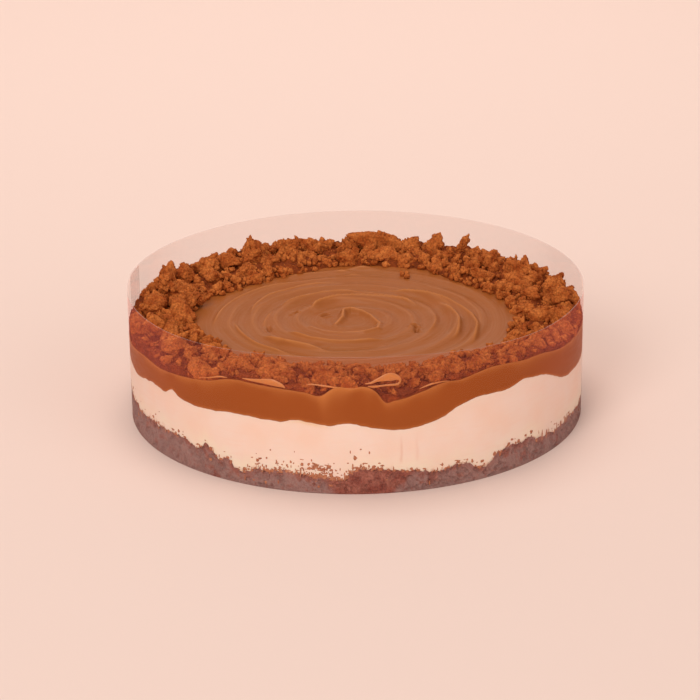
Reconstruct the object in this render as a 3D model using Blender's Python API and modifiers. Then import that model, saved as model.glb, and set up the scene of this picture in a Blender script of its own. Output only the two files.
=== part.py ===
"""A round no-bake cheesecake in its clear collar.

From the bottom up: a pressed biscuit base, a cream layer, a caramel layer whose top is
spread in a swirl, a ring of cookie crumbs round the rim, and a clear film collar.
Metres, +Z up. The cake stands on z = 0 about the Z axis, and its front is at -Y.
A bearing is measured in degrees from the front, positive towards +X.
"""

import math

import bmesh
import bpy
import numpy as np
from mathutils import Euler, Vector, noise

MM = 0.001

# Driving sizes
CAKE_RADIUS = 113.7 * MM
GAP = 0.3 * MM
STEPS = 84

COLLAR_HEIGHT = 66.0 * MM
COLLAR_FRONT_RISE = 3.0 * MM
COLLAR_RISE_HALF_WIDTH = 55.0
FILM = 0.3 * MM
COLLAR_LAP = 7.5
COLLAR_JOIN_BEARING = -100.0

CRUST_LEVEL = 12.0 * MM
CREAM_LEVEL = 36.0 * MM
CARAMEL_LEVEL = 48.0 * MM
EDGE_START = 0.55
EDGE_EASE = 1.3

# Uneven surfaces: height of the bumps, their width, and the slice of noise they are read from
CRUST_BUMPS = (1.1 * MM, 6 * MM, 3.0)
CREAM_BUMPS = (0.3 * MM, 14 * MM, 5.0)
TOE_BUMPS = (1.2 * MM, 13 * MM, 8.0)
BED_BUMPS = (1.0 * MM, 7 * MM, 9.0)
NOISE_PEAK = 0.62

# Rings on which neighbouring layers share their vertices
CRUST_RINGS = [0.0, 62 * MM, 96 * MM, CAKE_RADIUS]
CREAM_RINGS = [0.0, 62 * MM, 80 * MM, 98 * MM, CAKE_RADIUS]
BED_RINGS = [75 * MM, 82 * MM, 91 * MM, 102 * MM, CAKE_RADIUS]

# Heights in millimetres of each layer's edge against the film, by bearing
CRUST_EDGE = [
    (-170, 12), (-140, 14), (-110, 13), (-90, 14.5), (-75, 15.2), (-66, 14), (-60, 15),
    (-54, 14), (-46, 14), (-42.4, 12), (-38.7, 15.3), (-35.4, 10), (-32.5, 11),
    (-30.3, 7.2), (-24, 8.3), (-15, 10.4), (-8.4, 8.4), (-3.5, 7.6), (0, 12), (4, 12.6),
    (10, 10.4), (15.5, 10), (22, 9.3), (24.3, 11.2), (28, 8.8), (31.8, 5.9), (36, 10.7),
    (41, 12.7), (47.5, 12), (52, 10.6), (58, 9.4), (65, 10.2), (78, 9.6), (105, 12),
    (145, 10),
]
CREAM_EDGE = [
    (-150, 37), (-110, 36), (-80, 33), (-68, 32.3), (-64, 34), (-58, 35), (-54, 34.1),
    (-50.8, 37), (-48, 35), (-42.5, 33.7), (-37, 34.3), (-31, 35.4), (-22, 35.3),
    (-17.5, 35), (-15.2, 36.6), (-11, 36.1), (-6.3, 34.7), (-2, 36), (3.6, 33.7),
    (11, 31.9), (15.5, 33), (19.7, 35.3), (25.7, 40.8), (29.4, 42.3), (40, 42.9),
    (44.4, 44.8), (47, 44), (53, 42), (57, 38.5), (61.7, 34.6), (69, 33.2), (80, 33),
    (110, 35), (160, 38),
]
CARAMEL_EDGE = [
    (-172, 45), (-150, 47), (-110, 46), (-90, 44), (-78, 43), (-63.5, 45.6), (-56, 44.8),
    (-48, 46),
    (-41, 47.6), (-36.8, 49.1), (-32.7, 51.6), (-29, 52.5), (-25, 52.1), (-17, 51.3),
    (-12, 50.6), (-8, 49.6), (-6.2, 52.3), (-4.5, 54), (-1, 53.3), (1.3, 54.2),
    (3, 53.6), (4.6, 51.5), (6.9, 45.8), (9, 46.6), (11.5, 47.3), (14, 48.9),
    (17.2, 50.9), (20.5, 52.9), (25.7, 53.1), (29.3, 54.6), (33, 55.8), (38, 55.6),
    (44.3, 54.2), (50, 53.8), (60, 50.5), (68, 49.7), (80, 49.1), (110, 47), (160, 46.5),
]

# Swirl of the caramel top: arcs about its own centre, in millimetres and degrees
# anticlockwise from +X: start angle, end angle, start radius, end radius, crest height
SWIRL_CENTRE = (-3 * MM, -8 * MM)
SWIRL_RADIUS = 70 * MM
SWIRL_FADE = 6 * MM
SWIRL_RINGS = 17
SWIRL_PITCH = 11.5
SWIRL_PHASE = 8.5
SWIRL_DEPTH = 0.55
SWIRL_EYE = 20.0
SWIRL_ARCS = [
    (137, 36, 25.5, 39.5, 1.3),
    (145, 84, 40, 39, 0.8),
    (162, 100, 52, 57, 0.9),
    (185, 121, 68, 63, 0.8),
    (60, -28, 48, 69, 1.2),
    (22, -23, 51, 58, 1.3),
    (8, -20, 43, 43.5, 0.6),
    (-67, -147, 33.5, 34.5, 0.9),
    (-109, -147, 45, 48, 1.3),
    (186, 238, 57, 57, 0.8),
    (188, 162, 43, 41, 0.6),
]
ARC_FADE = 9.0
CREST_INSIDE = 3.6
CREST_OUTSIDE = 1.6
# The curl where the spatula was lifted: x, y, crest height in millimetres
CURL = [
    (-10, -16, 1.2), (-6.5, -8, 2.6), (-6, 1, 3.2), (-2.5, 4, 3.0), (3, 1.5, 2.4),
    (8, -6, 2.0), (12, -15, 1.8), (11, -23, 1.6), (4, -27.5, 1.5), (-6, -28, 1.3),
    (-15, -25, 1.1), (-22, -18, 0.8),
]
CURL_WIDTH = 2.2

# Crumb ring: a bed with lumps of cookie fused on. Its inner edge by bearing, in millimetres
RING_TOE = [
    (-170, 75), (-158, 70), (-145, 69), (-130, 71), (-118, 75), (-107, 81), (-84, 83),
    (-66, 82), (-56, 79), (-45, 83), (-30, 80), (-10, 79), (4, 79), (20, 82), (33, 83),
    (43, 87), (50, 89), (60, 87), (72, 80), (86, 82), (97, 78), (112, 77), (125, 73),
    (140, 73), (151, 77), (162, 76),
]
TOE_REACH = (72.5 * MM, 79.0 * MM)
CRUMB_REACH = CAKE_RADIUS - 0.6 * MM
CRUMB_TOP = 61.4 * MM
BED_LEVEL = 50.5 * MM
BED_FILL = 0.8
BED_RISE = [0.9 * MM, 1.6 * MM, 1.8 * MM, 1.7 * MM, 1.3 * MM]
CLEARANCE = 1.5 * MM
LUMP_ROUGHNESS = 0.22
LUMP_TILT = 0.5
LUMP_SHAPE = (1.0, 0.85, 0.65)
LUMP_SHOWS = (0.5, 0.8)
LUMP_LEAST = 0.42
LUMP_DROP = 2.0 * MM
LANE_SPREAD = 3 * MM
LUMP_LANES = (80 * MM, 103 * MM, 88 * MM, 110 * MM, 96 * MM)
FINE_LUMPS = 8
STAGGER = 0.004 * MM
FLAT = math.radians(2)
# Height in millimetres that the ordinary lumps reach, by bearing
LUMP_LINE = [
    (-170, 52.8), (-150, 53.8), (-135, 55.6), (-118, 56.8), (-97, 57.8), (-70, 58.5),
    (0, 58.5), (70, 58.5), (97, 58.3), (112, 57.3), (125, 56), (140, 54), (160, 53.8),
    (172, 54.5),
]
# At the front they also lie under a line that climbs towards the film
FRONT_LEVEL = 52.0 * MM
FRONT_CLIMB = 0.34
FRONT_HALF_WIDTH = 95.0
FRONT_EASE = 25.0
# Lumps that stand out: bearing, distance from the axis, top height, then width,
# depth and height of the lump, all but the bearing in millimetres
LANDMARKS = [
    (-146, 97, 61.0, 12, 11, 12),
    (172, 98, 59.5, 27, 10, 10),
    (110, 88, 57.5, 15, 10, 12),
    (-7, 104, 59.0, 19, 9, 9),
    (-100, 86, 55.0, 17, 7, 6),
    (154, 97, 59.5, 8, 8, 11),
    (-111, 104, 61.0, 10, 9, 10),
    (145, 101, 61.0, 4, 5, 10),
    (170, 84, 55.5, 17, 6, 9),
    (-144, 95, 55.5, 12, 9, 10),
    (-159, 98, 57.5, 11, 9, 10),
    (-119, 101, 57.5, 11, 9, 9),
    (-129, 99, 57.5, 12, 10, 9),
    (-136, 97, 57.0, 10, 10, 9),
    (-179, 98, 56.5, 9, 9, 8),
    (134, 98, 57.0, 12, 11, 9),
    (119, 99, 59.5, 11, 10, 10),
    (92, 103, 60.5, 12, 10, 10),
    (-88, 103, 58.5, 12, 10, 9),
    (-106, 103, 59.0, 9, 8, 8),
    (-168, 97, 55.5, 8, 8, 9),
    (163, 99, 56.5, 9, 8, 8),
    (101, 103, 60.0, 11, 10, 11),
    (78, 104, 58.5, 13, 11, 9),
    (-74, 103, 58.5, 13, 10, 10),
]
# Count of lumps, then their least and greatest width
LUMP_KINDS = [(48, 13 * MM, 20 * MM), (34, 9 * MM, 13 * MM)]
LUMP_SEED = 11


def around(points, bearing):
    """Height in metres at each bearing, on the smooth closed curve through the points."""
    knots, heights = np.array(points, float).T
    knots = np.concatenate([knots - 360, knots, knots + 360])
    heights = np.tile(heights, 3)
    slopes = np.gradient(heights, knots)
    i = np.clip(np.searchsorted(knots, bearing, side="right") - 1, 0, len(knots) - 2)
    width = knots[i + 1] - knots[i]
    t = (bearing - knots[i]) / width
    start = (1 + 2 * t) * (1 - t) ** 2 * heights[i] + t * (1 - t) ** 2 * width * slopes[i]
    end = t * t * (3 - 2 * t) * heights[i + 1] - t * t * (1 - t) * width * slopes[i + 1]
    return (start + end) * MM


def smooth(t):
    """0 below 0, 1 above 1 and an even ease between."""
    t = np.clip(t, 0, 1)
    return t * t * (3 - 2 * t)


def bearing_of(x, y):
    return np.degrees(np.arctan2(x, -y))


def bumps(x, y, kind):
    """Uneven height from smooth noise, for one of the kinds of bumps above."""
    height, width, level = kind
    points = zip(np.ravel(x) / width, np.ravel(y) / width)
    values = [noise.noise(Vector((px, py, level))) for px, py in points]
    return np.reshape(values, np.shape(x)) * height / NOISE_PEAK


def edge_blend(x, y, level, edge_points):
    """A flat level inside that bends to the edge's own height at the film."""
    reach = np.hypot(x, y) / CAKE_RADIUS
    weight = smooth((reach - EDGE_START) / (1 - EDGE_START)) ** EDGE_EASE
    edge = around(edge_points, bearing_of(x, y))
    return level + (edge - level) * weight


def crust_top(x, y):
    return edge_blend(x, y, CRUST_LEVEL, CRUST_EDGE) + bumps(x, y, CRUST_BUMPS)


def cream_top(x, y):
    return edge_blend(x, y, CREAM_LEVEL, CREAM_EDGE) + bumps(x, y, CREAM_BUMPS)


def arc_crest(angle, radius, arc):
    """Height in millimetres of one swirl arc: gentle inside, steep outside, fading at its ends."""
    first, last, near, far, height = arc
    middle = (first + last) / 2
    turned = (angle - middle + 180) % 360 - 180
    half = (first - last) / 2
    along = np.clip(0.5 - turned / abs(2 * half) * np.sign(half), 0, 1)
    offset = radius - (near + (far - near) * along)
    width = np.where(offset < 0, CREST_INSIDE, CREST_OUTSIDE)
    fade = smooth((abs(half) + ARC_FADE - np.abs(turned)) / (2 * ARC_FADE))
    return height * fade * np.exp(-((offset / width) ** 2))


def curl_crest(x, y):
    """Height in millimetres of the curl's lip, from the nearest point of its line."""
    best = np.full(np.shape(x), 1e9)
    crest = np.zeros(np.shape(x))
    for (ax, ay, ah), (bx, by, bh) in zip(CURL, CURL[1:]):
        run = (bx - ax) ** 2 + (by - ay) ** 2
        t = np.clip(((x - ax) * (bx - ax) + (y - ay) * (by - ay)) / run, 0, 1)
        far = np.hypot(x - ax - t * (bx - ax), y - ay - t * (by - ay))
        crest = np.where(far < best, ah + t * (bh - ah), crest)
        best = np.minimum(far, best)
    return crest * np.exp(-((best / CURL_WIDTH) ** 2))


def swirl(x, y):
    """Relief of the spread caramel in metres: a faint spiral, its arcs and the curl."""
    dx = (x - SWIRL_CENTRE[0]) / MM
    dy = (y - SWIRL_CENTRE[1]) / MM
    radius = np.hypot(dx, dy)
    angle = np.degrees(np.arctan2(dy, dx))
    turn = (radius - SWIRL_PHASE) / SWIRL_PITCH + angle / 360
    relief = SWIRL_DEPTH * np.cos(2 * math.pi * turn) * smooth(radius / SWIRL_EYE)
    for arc in SWIRL_ARCS:
        relief = relief + arc_crest(angle, radius, arc)
    relief = relief + curl_crest(x / MM, y / MM)
    inside = smooth((SWIRL_RADIUS - np.hypot(x, y)) / SWIRL_FADE)
    return relief * inside * MM


def caramel_top(x, y):
    return edge_blend(x, y, CARAMEL_LEVEL, CARAMEL_EDGE) + swirl(x, y)


def bed_top(x, y):
    """Top of the bed of fine crumbs: it rises from its toe and fills low places of the caramel."""
    under = caramel_top(x, y) + GAP
    reach = np.hypot(x, y)
    rise = np.interp(reach, BED_RINGS, BED_RISE)
    away = smooth((reach - BED_RINGS[0]) / (BED_RINGS[1] - BED_RINGS[0]))
    fill = BED_FILL * np.maximum(0, BED_LEVEL - under - rise)
    return under + rise + away * (fill + bumps(x, y, BED_BUMPS))


def clear_scene():
    for obj in list(bpy.data.objects):
        bpy.data.objects.remove(obj, do_unlink=True)


def material(name, colour, roughness, metallic=0.0, alpha=1.0):
    mat = bpy.data.materials.new(name)
    mat.use_nodes = True
    surface = mat.node_tree.nodes["Principled BSDF"]
    surface.inputs["Base Color"].default_value = (*colour, 1.0)
    surface.inputs["Roughness"].default_value = roughness
    surface.inputs["Metallic"].default_value = metallic
    surface.inputs["Alpha"].default_value = alpha
    return mat


def collection(name):
    made = bpy.data.collections.new(name)
    bpy.context.scene.collection.children.link(made)
    return made


def read_points(mesh):
    flat = np.empty(len(mesh.vertices) * 3)
    mesh.vertices.foreach_get("co", flat)
    return flat.reshape(-1, 3)


def write_points(mesh, points):
    mesh.vertices.foreach_set("co", np.ravel(points))
    mesh.update()


def turned(name, profile, closed=False):
    """Mesh turned about Z from a profile of (radius, height) that runs down its outer side."""
    mesh = bpy.data.meshes.new(name + "_profile")
    edges = [(i, i + 1) for i in range(len(profile) - 1)]
    if closed:
        edges.append((len(profile) - 1, 0))
    mesh.from_pydata([(r, 0.0, z) for r, z in profile], edges, [])
    obj = bpy.data.objects.new(name + "_profile", mesh)
    bpy.context.scene.collection.objects.link(obj)
    screw = obj.modifiers.new("Turn", "SCREW")
    screw.steps = STEPS
    screw.render_steps = STEPS
    screw.use_merge_vertices = True
    screw.merge_threshold = 0.01 * MM
    screw.use_smooth_shade = True
    graph = bpy.context.evaluated_depsgraph_get()
    made = bpy.data.meshes.new_from_object(obj.evaluated_get(graph))
    made.name = name
    bpy.data.objects.remove(obj, do_unlink=True)
    bpy.data.meshes.remove(mesh)
    return made


def split_faces(mesh):
    """Splits each face along its shorter diagonal, so that facing layers split alike."""
    bm = bmesh.new()
    bm.from_mesh(mesh)
    bmesh.ops.triangulate(bm, faces=bm.faces[:], quad_method="SHORT_EDGE")
    bm.to_mesh(mesh)
    bm.free()


def layer(name, top_rings, bottom_rings, top, bottom):
    """A solid layer between two height functions; its profile has height 1 on top and 0 below."""
    profile = [(r, 1.0) for r in top_rings]
    profile += [(r, 0.0) for r in reversed(bottom_rings)]
    mesh = turned(name, profile)
    points = read_points(mesh)
    x, y, side = points.T
    points[:, 2] = np.where(side > 0.5, top(x, y), bottom(x, y))
    write_points(mesh, points)
    split_faces(mesh)
    return mesh


def add(mesh, mat, parts):
    mesh.materials.clear()
    mesh.materials.append(mat)
    mesh.shade_smooth()
    mesh.set_sharp_from_angle(angle=math.radians(50))
    obj = bpy.data.objects.new(mesh.name, mesh)
    parts.objects.link(obj)
    return obj


def biscuit_base(parts):
    mesh = layer(
        "biscuit_base", CRUST_RINGS, [0.0, CAKE_RADIUS], crust_top, lambda x, y: 0 * x
    )
    return add(mesh, material("biscuit", (0.27, 0.13, 0.10), 0.8), parts)


def cream_layer(parts):
    mesh = layer(
        "cream_layer",
        CREAM_RINGS,
        CRUST_RINGS,
        cream_top,
        lambda x, y: crust_top(x, y) + GAP,
    )
    return add(mesh, material("cream", (0.90, 0.62, 0.46), 0.5), parts)


def caramel_layer(parts):
    swirl_rings = [SWIRL_RADIUS * i / SWIRL_RINGS for i in range(SWIRL_RINGS + 1)]
    mesh = layer(
        "caramel_layer",
        swirl_rings + BED_RINGS,
        CREAM_RINGS,
        caramel_top,
        lambda x, y: cream_top(x, y) + GAP,
    )
    return add(mesh, material("caramel", (0.40, 0.13, 0.045), 0.35), parts)


def crumb_bed():
    """The bed of fine crumbs: its underside shares the caramel's rings, its top is bumpy."""
    outline = [(r, 1.0) for r in BED_RINGS]
    outline += [(r, 0.0) for r in reversed(BED_RINGS)]
    mesh = turned("crumb_ring", outline, closed=True)
    points = read_points(mesh)
    x, y, side = points.T
    toe = np.clip(around(RING_TOE, bearing_of(x, y)) + bumps(x, y, TOE_BUMPS), *TOE_REACH)
    stretch = np.where(np.isclose(np.hypot(x, y), BED_RINGS[0]), toe / BED_RINGS[0], 1)
    x = x * stretch
    y = y * stretch
    z = np.where(side > 0.5, bed_top(x, y), caramel_top(x, y) + GAP)
    write_points(mesh, np.stack([x, y, z], axis=1))
    split_faces(mesh)
    return mesh


def lump_limit(x, y):
    """Height that no ordinary lump passes: at the front it climbs from the toe outwards."""
    bearing = bearing_of(x, y)
    front = smooth((FRONT_HALF_WIDTH - np.abs(bearing)) / FRONT_EASE)
    line = around(LUMP_LINE, bearing)
    climb = FRONT_LEVEL + FRONT_CLIMB * (np.hypot(x, y) - around(RING_TOE, bearing))
    return line + (np.minimum(climb, line) - line) * front


def lump_sites():
    """Every fused lump: bearing, distance from the axis, top height, width, depth, height."""
    draw = np.random.RandomState(LUMP_SEED)
    sites = [(b, r * MM, t * MM, w * MM, d * MM, h * MM) for b, r, t, w, d, h in LANDMARKS]
    for count, least, most in LUMP_KINDS:
        for i in range(count):
            bearing = 360 * (i + draw.uniform(0.1, 0.9)) / count - 180
            lane = LUMP_LANES[i % len(LUMP_LANES)]
            distance = lane + draw.uniform(-LANE_SPREAD, LANE_SPREAD)
            width, depth, height = draw.uniform(least, most, 3) * LUMP_SHAPE
            distance = max(distance, float(around(RING_TOE, bearing)) + width / 3)
            angle = math.radians(bearing)
            x = distance * math.sin(angle)
            y = -distance * math.cos(angle)
            ground = float(bed_top(x, y))
            top = ground + height * draw.uniform(*LUMP_SHOWS)
            top = min(top, float(lump_limit(x, y)) - LUMP_DROP * draw.uniform(0, 1))
            top = max(top, ground + LUMP_LEAST * height)
            sites.append((bearing, distance, top, width, depth, height))
    return sites


def lump(index, site, into):
    """One rough lump, pressed back to lie clear of the caramel, the film and the headroom.

    Each lump is pressed back a little further than the one before, so that no two pressed
    faces share a plane.
    """
    bearing, distance, top, width, depth, height = site
    draw = np.random.RandomState(1000 + index)
    bm = bmesh.new()
    bmesh.ops.create_icosphere(bm, subdivisions=2 if index < FINE_LUMPS else 1, radius=0.5)
    mesh = bpy.data.meshes.new(f"lump_{index:03d}")
    bm.to_mesh(mesh)
    bm.free()
    points = read_points(mesh)
    points = points * (1 + LUMP_ROUGHNESS * draw.uniform(-1, 1, (len(points), 1)))
    tilt = Euler(draw.uniform(-LUMP_TILT, LUMP_TILT, 3)).to_matrix()
    points = points @ np.array(tilt).T * (width, depth, height)
    angle = math.radians(bearing)
    turn = np.array([[math.cos(angle), math.sin(angle)], [-math.sin(angle), math.cos(angle)]])
    points[:, :2] = points[:, :2] @ turn
    points += (
        distance * math.sin(angle),
        -distance * math.cos(angle),
        top - height / 2,
    )
    own = STAGGER * index
    reach = np.hypot(points[:, 0], points[:, 1])
    points[:, :2] *= np.minimum(1, (CRUMB_REACH - own) / reach)[:, None]
    floor = caramel_top(points[:, 0], points[:, 1]) + CLEARANCE + own
    points[:, 2] = np.clip(points[:, 2], floor, CRUMB_TOP - own)
    write_points(mesh, points)
    obj = bpy.data.objects.new(mesh.name, mesh)
    into.objects.link(obj)


def keep_outer_shell(mesh):
    """Drops loose scraps and sealed hollows, then merges the faces that the union split."""
    bm = bmesh.new()
    bm.from_mesh(mesh)
    left = set(bm.verts)
    shells = []
    while left:
        shell = {left.pop()}
        edge = list(shell)
        while edge:
            near = {e.other_vert(v) for v in edge for e in v.link_edges} - shell
            shell |= near
            edge = list(near)
        left -= shell
        shells.append(shell)
    main = max(shells, key=len)
    bmesh.ops.delete(bm, geom=[v for v in bm.verts if v not in main], context="VERTS")
    bmesh.ops.dissolve_limit(bm, angle_limit=FLAT, verts=bm.verts[:], edges=bm.edges[:])
    bmesh.ops.triangulate(bm, faces=bm.faces[:])
    bm.to_mesh(mesh)
    bm.free()


def crumb_ring(parts):
    """The crumb bed with its lumps joined on by one union."""
    lumps = collection("crumb_lumps")
    for index, site in enumerate(lump_sites()):
        lump(index, site, lumps)
    ring = add(crumb_bed(), material("crumb", (0.33, 0.10, 0.03), 0.85), parts)
    union = ring.modifiers.new("Join lumps", "BOOLEAN")
    union.operation = "UNION"
    union.operand_type = "COLLECTION"
    union.collection = lumps
    union.solver = "MANIFOLD"
    graph = bpy.context.evaluated_depsgraph_get()
    joined = bpy.data.meshes.new_from_object(ring.evaluated_get(graph))
    ring.modifiers.clear()
    ring.data = joined
    keep_outer_shell(joined)
    joined.shade_flat()
    for obj in list(lumps.objects):
        bpy.data.objects.remove(obj, do_unlink=True)
    bpy.data.collections.remove(lumps)
    return ring


def clear_collar(parts):
    """A strip of film rolled a little past a full turn, with its ends lapped at the join."""
    turn = 360 + COLLAR_LAP
    columns = round(STEPS * turn / 360)
    bm = bmesh.new()
    bmesh.ops.create_grid(bm, x_segments=columns, y_segments=1, size=0.5)
    mesh = bpy.data.meshes.new("clear_collar")
    bm.to_mesh(mesh)
    bm.free()
    points = read_points(mesh)
    along = points[:, 0] + 0.5
    bearing = COLLAR_JOIN_BEARING - COLLAR_LAP / 2 + along * turn
    radius = CAKE_RADIUS + GAP + (FILM + GAP) * along * turn / 360
    off_front = np.abs((bearing + 180) % 360 - 180)
    rise = smooth(1 - off_front / COLLAR_RISE_HALF_WIDTH)
    height = COLLAR_HEIGHT + COLLAR_FRONT_RISE * rise
    x = radius * np.sin(np.radians(bearing))
    y = -radius * np.cos(np.radians(bearing))
    write_points(mesh, np.stack([x, y, (points[:, 1] + 0.5) * height], axis=1))
    film = material("film", (0.97, 0.93, 0.92), 0.05, alpha=0.25)
    obj = add(mesh, film, parts)
    thick = obj.modifiers.new("Film thickness", "SOLIDIFY")
    thick.thickness = FILM
    thick.offset = 1.0
    return obj


def main():
    clear_scene()
    parts = collection("cheesecake")
    biscuit_base(parts)
    cream_layer(parts)
    caramel_layer(parts)
    crumb_ring(parts)
    clear_collar(parts)


main()
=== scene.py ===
"""Looks of a round caramel cheesecake in its clear collar.

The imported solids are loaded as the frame. Each layer is then replaced by a finely modelled
piece of the same form: pressed biscuit, set cream, spread caramel, crumbs and film. Metres,
+Z up, front at -Y. A bearing is measured in degrees from the front, positive towards +X.
"""

import math

import bpy
import numpy as np
from mathutils import Matrix, Vector


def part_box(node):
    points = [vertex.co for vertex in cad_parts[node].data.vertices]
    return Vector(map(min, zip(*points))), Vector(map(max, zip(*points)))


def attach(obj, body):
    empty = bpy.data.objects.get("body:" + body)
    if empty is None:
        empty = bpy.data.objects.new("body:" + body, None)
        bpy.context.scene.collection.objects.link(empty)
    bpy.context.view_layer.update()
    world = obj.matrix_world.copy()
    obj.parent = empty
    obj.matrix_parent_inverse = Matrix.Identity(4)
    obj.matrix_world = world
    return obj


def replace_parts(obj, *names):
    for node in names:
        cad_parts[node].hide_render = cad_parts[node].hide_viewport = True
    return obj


bl_info = {
    "name": "Caramel Cheesecake",
    "version": (1, 0, 0),
    "blender": (4, 5, 0),
    "location": "3D View > Sidebar > Cheesecake",
    "description": "Round caramel cheesecake with a crumb rim in a clear collar",
    "category": "Add Mesh",
}

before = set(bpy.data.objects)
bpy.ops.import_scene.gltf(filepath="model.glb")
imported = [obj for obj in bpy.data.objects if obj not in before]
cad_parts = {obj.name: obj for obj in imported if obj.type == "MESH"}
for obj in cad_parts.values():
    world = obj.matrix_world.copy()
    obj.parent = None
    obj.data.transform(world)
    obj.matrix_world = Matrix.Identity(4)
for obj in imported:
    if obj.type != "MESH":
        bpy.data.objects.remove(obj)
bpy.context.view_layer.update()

MM = 0.001
FOOD_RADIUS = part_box("caramel_layer")[1].x
FOOT_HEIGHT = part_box("biscuit_base")[0].z
COLLAR_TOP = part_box("clear_collar")[1].z

# The collar is a strip rolled a little past a full turn, lapped about the join. At the front
# its edge stands higher by the rise, which eases off over the half width in degrees
COLLAR_FRONT_RISE = 3.0 * MM
COLLAR_RISE_HALF_WIDTH = 55.0
COLLAR_LAP = 7.5
COLLAR_JOIN_BEARING = -100.0
FILM = 0.3 * MM
FILM_GAP = 0.3 * MM
# How far beyond the film's inner face the food's side is set, so that it touches
PRESS = 0.1 * MM

# Each layer's level away from the film. From a part of the radius on, it eases to its edge
CRUST_LEVEL = 12.0 * MM
CREAM_LEVEL = 36.0 * MM
CARAMEL_LEVEL = 48.0 * MM
EDGE_START = 0.55
EDGE_EASE = 1.3

# Heights in millimetres of each layer's edge against the film, by bearing
CRUST_EDGE = [
    (-170, 12), (-140, 14), (-110, 13), (-90, 14.5), (-75, 15.2), (-66, 14), (-60, 15),
    (-54, 14), (-46, 14), (-42.4, 12), (-38.7, 15.3), (-35.4, 10), (-32.5, 11),
    (-30.3, 7.2), (-24, 8.3), (-15, 10.4), (-8.4, 8.4), (-3.5, 7.6), (0, 12), (4, 12.6),
    (10, 10.4), (15.5, 10), (22, 9.3), (24.3, 11.2), (28, 8.8), (31.8, 5.9), (36, 10.7),
    (41, 12.7), (47.5, 12), (52, 10.6), (58, 9.4), (65, 10.2), (78, 9.6), (105, 12),
    (145, 10),
]
CREAM_EDGE = [
    (-150, 37), (-110, 36), (-80, 33), (-68, 32.3), (-64, 34), (-58, 35), (-54, 34.1),
    (-50.8, 37), (-48, 35), (-42.5, 33.7), (-37, 34.3), (-31, 35.4), (-22, 35.3),
    (-17.5, 35), (-15.2, 36.6), (-11, 36.1), (-6.3, 34.7), (-2, 36), (3.6, 33.7),
    (11, 31.9), (15.5, 33), (19.7, 35.3), (25.7, 40.8), (29.4, 42.3), (40, 42.9),
    (44.4, 44.8), (47, 44), (53, 42), (57, 38.5), (61.7, 34.6), (69, 33.2), (80, 33),
    (110, 35), (160, 38),
]
CARAMEL_EDGE = [
    (-172, 45), (-150, 47), (-110, 46), (-90, 44), (-78, 43), (-63.5, 45.6), (-56, 44.8),
    (-48, 46), (-41, 47.6), (-36.8, 49.1), (-32.7, 51.6), (-29, 52.5), (-25, 52.1),
    (-17, 51.3), (-12, 50.6), (-8, 49.6), (-6.2, 52.3), (-4.5, 54), (-1, 53.3), (1.3, 54.2),
    (3, 53.6), (4.6, 51.5), (6.9, 45.8), (9, 46.6), (11.5, 47.3), (14, 48.9), (17.2, 50.9),
    (20.5, 52.9), (25.7, 53.1), (29.3, 54.6), (33, 55.8), (38, 55.6), (44.3, 54.2),
    (50, 53.8), (60, 50.5), (68, 49.7), (80, 49.1), (110, 47), (160, 46.5),
]

# The biscuit touches the film in a wedge at the front, whose sides have a bearing at the foot,
# lean by some degrees for each millimetre of height and are some degrees wide
WEDGE_LEFT, WEDGE_LEFT_LEAN, WEDGE_LEFT_SOFT = -4, 0.3, 3
WEDGE_RIGHT, WEDGE_RIGHT_LEAN, WEDGE_RIGHT_SOFT = 7.5, 0.5, 2
# Upright creases in the cream: bearing, half width in degrees and strength
CREASES = [(10.6, 0.3, 0.4), (14.5, 0.35, 0.2)]
# Bearing and half width in degrees of the rich smear under the caramel
SMEAR = (-11.5, 4)

# Folds of caramel skin pushed up against the film: bearing, height and half width in
# millimetres along each fold's middle line
FOLDS = [
    [
        (2.1, 55.7, 0.15), (3.4, 55.9, 0.45), (4.8, 57.1, 0.8), (6.0, 57.8, 1.35),
        (7.2, 58.4, 1.9), (8.2, 58.5, 2.0), (9.2, 58.2, 1.6), (10.0, 57.5, 0.9),
        (10.4, 56.3, 0.5), (9.9, 54.9, 0.45), (8.9, 54.5, 0.5), (7.4, 54.5, 0.42),
        (5.8, 54.3, 0.4), (4.2, 54.0, 0.55), (2.7, 54.3, 0.25),
    ],
    [
        (-27.8, 53.9, 0.12), (-26.2, 53.7, 0.45), (-24.0, 53.8, 0.85), (-22.0, 54.0, 1.3),
        (-20.3, 54.0, 1.6), (-18.8, 53.5, 1.4), (-17.7, 52.9, 0.9), (-16.9, 52.0, 0.2),
    ],
    [
        (-11.6, 54.9, 0.12), (-9.6, 54.8, 0.3), (-7.6, 54.4, 0.4), (-5.4, 54.0, 0.5),
        (-2.8, 53.6, 0.4), (0.5, 53.2, 0.15),
    ],
    [
        (15.0, 51.6, 0.12), (16.6, 52.4, 0.3), (18.4, 53.2, 0.45), (20.6, 53.6, 0.3),
        (22.4, 53.4, 0.1),
    ],
    [(-40.5, 48.9, 0.1), (-37.5, 50.2, 0.3), (-34.5, 52.0, 0.4), (-32.0, 52.6, 0.15)],
]
FOLD_DEPTH = 0.9 * MM
# Bearings between which the caramel's upper edge is thin and pale
PALE_EDGE = (-8.5, 3.5)

# Swirl of the caramel top: a faint spiral about its own centre. Its pitch, phase, depth, the
# radius of its smooth eye, how far noise bends it and its fine rings are in millimetres
SWIRL_CENTRE = (-3 * MM, -8 * MM)
SWIRL_RADIUS = 70 * MM
SWIRL_FADE = 6 * MM
SWIRL_PITCH = 11.5
SWIRL_PHASE = 8.5
SWIRL_DEPTH = 0.75
SWIRL_EYE = 20.0
SWIRL_WANDER = 0.7
SWIRL_RINGS = 0.12
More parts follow.
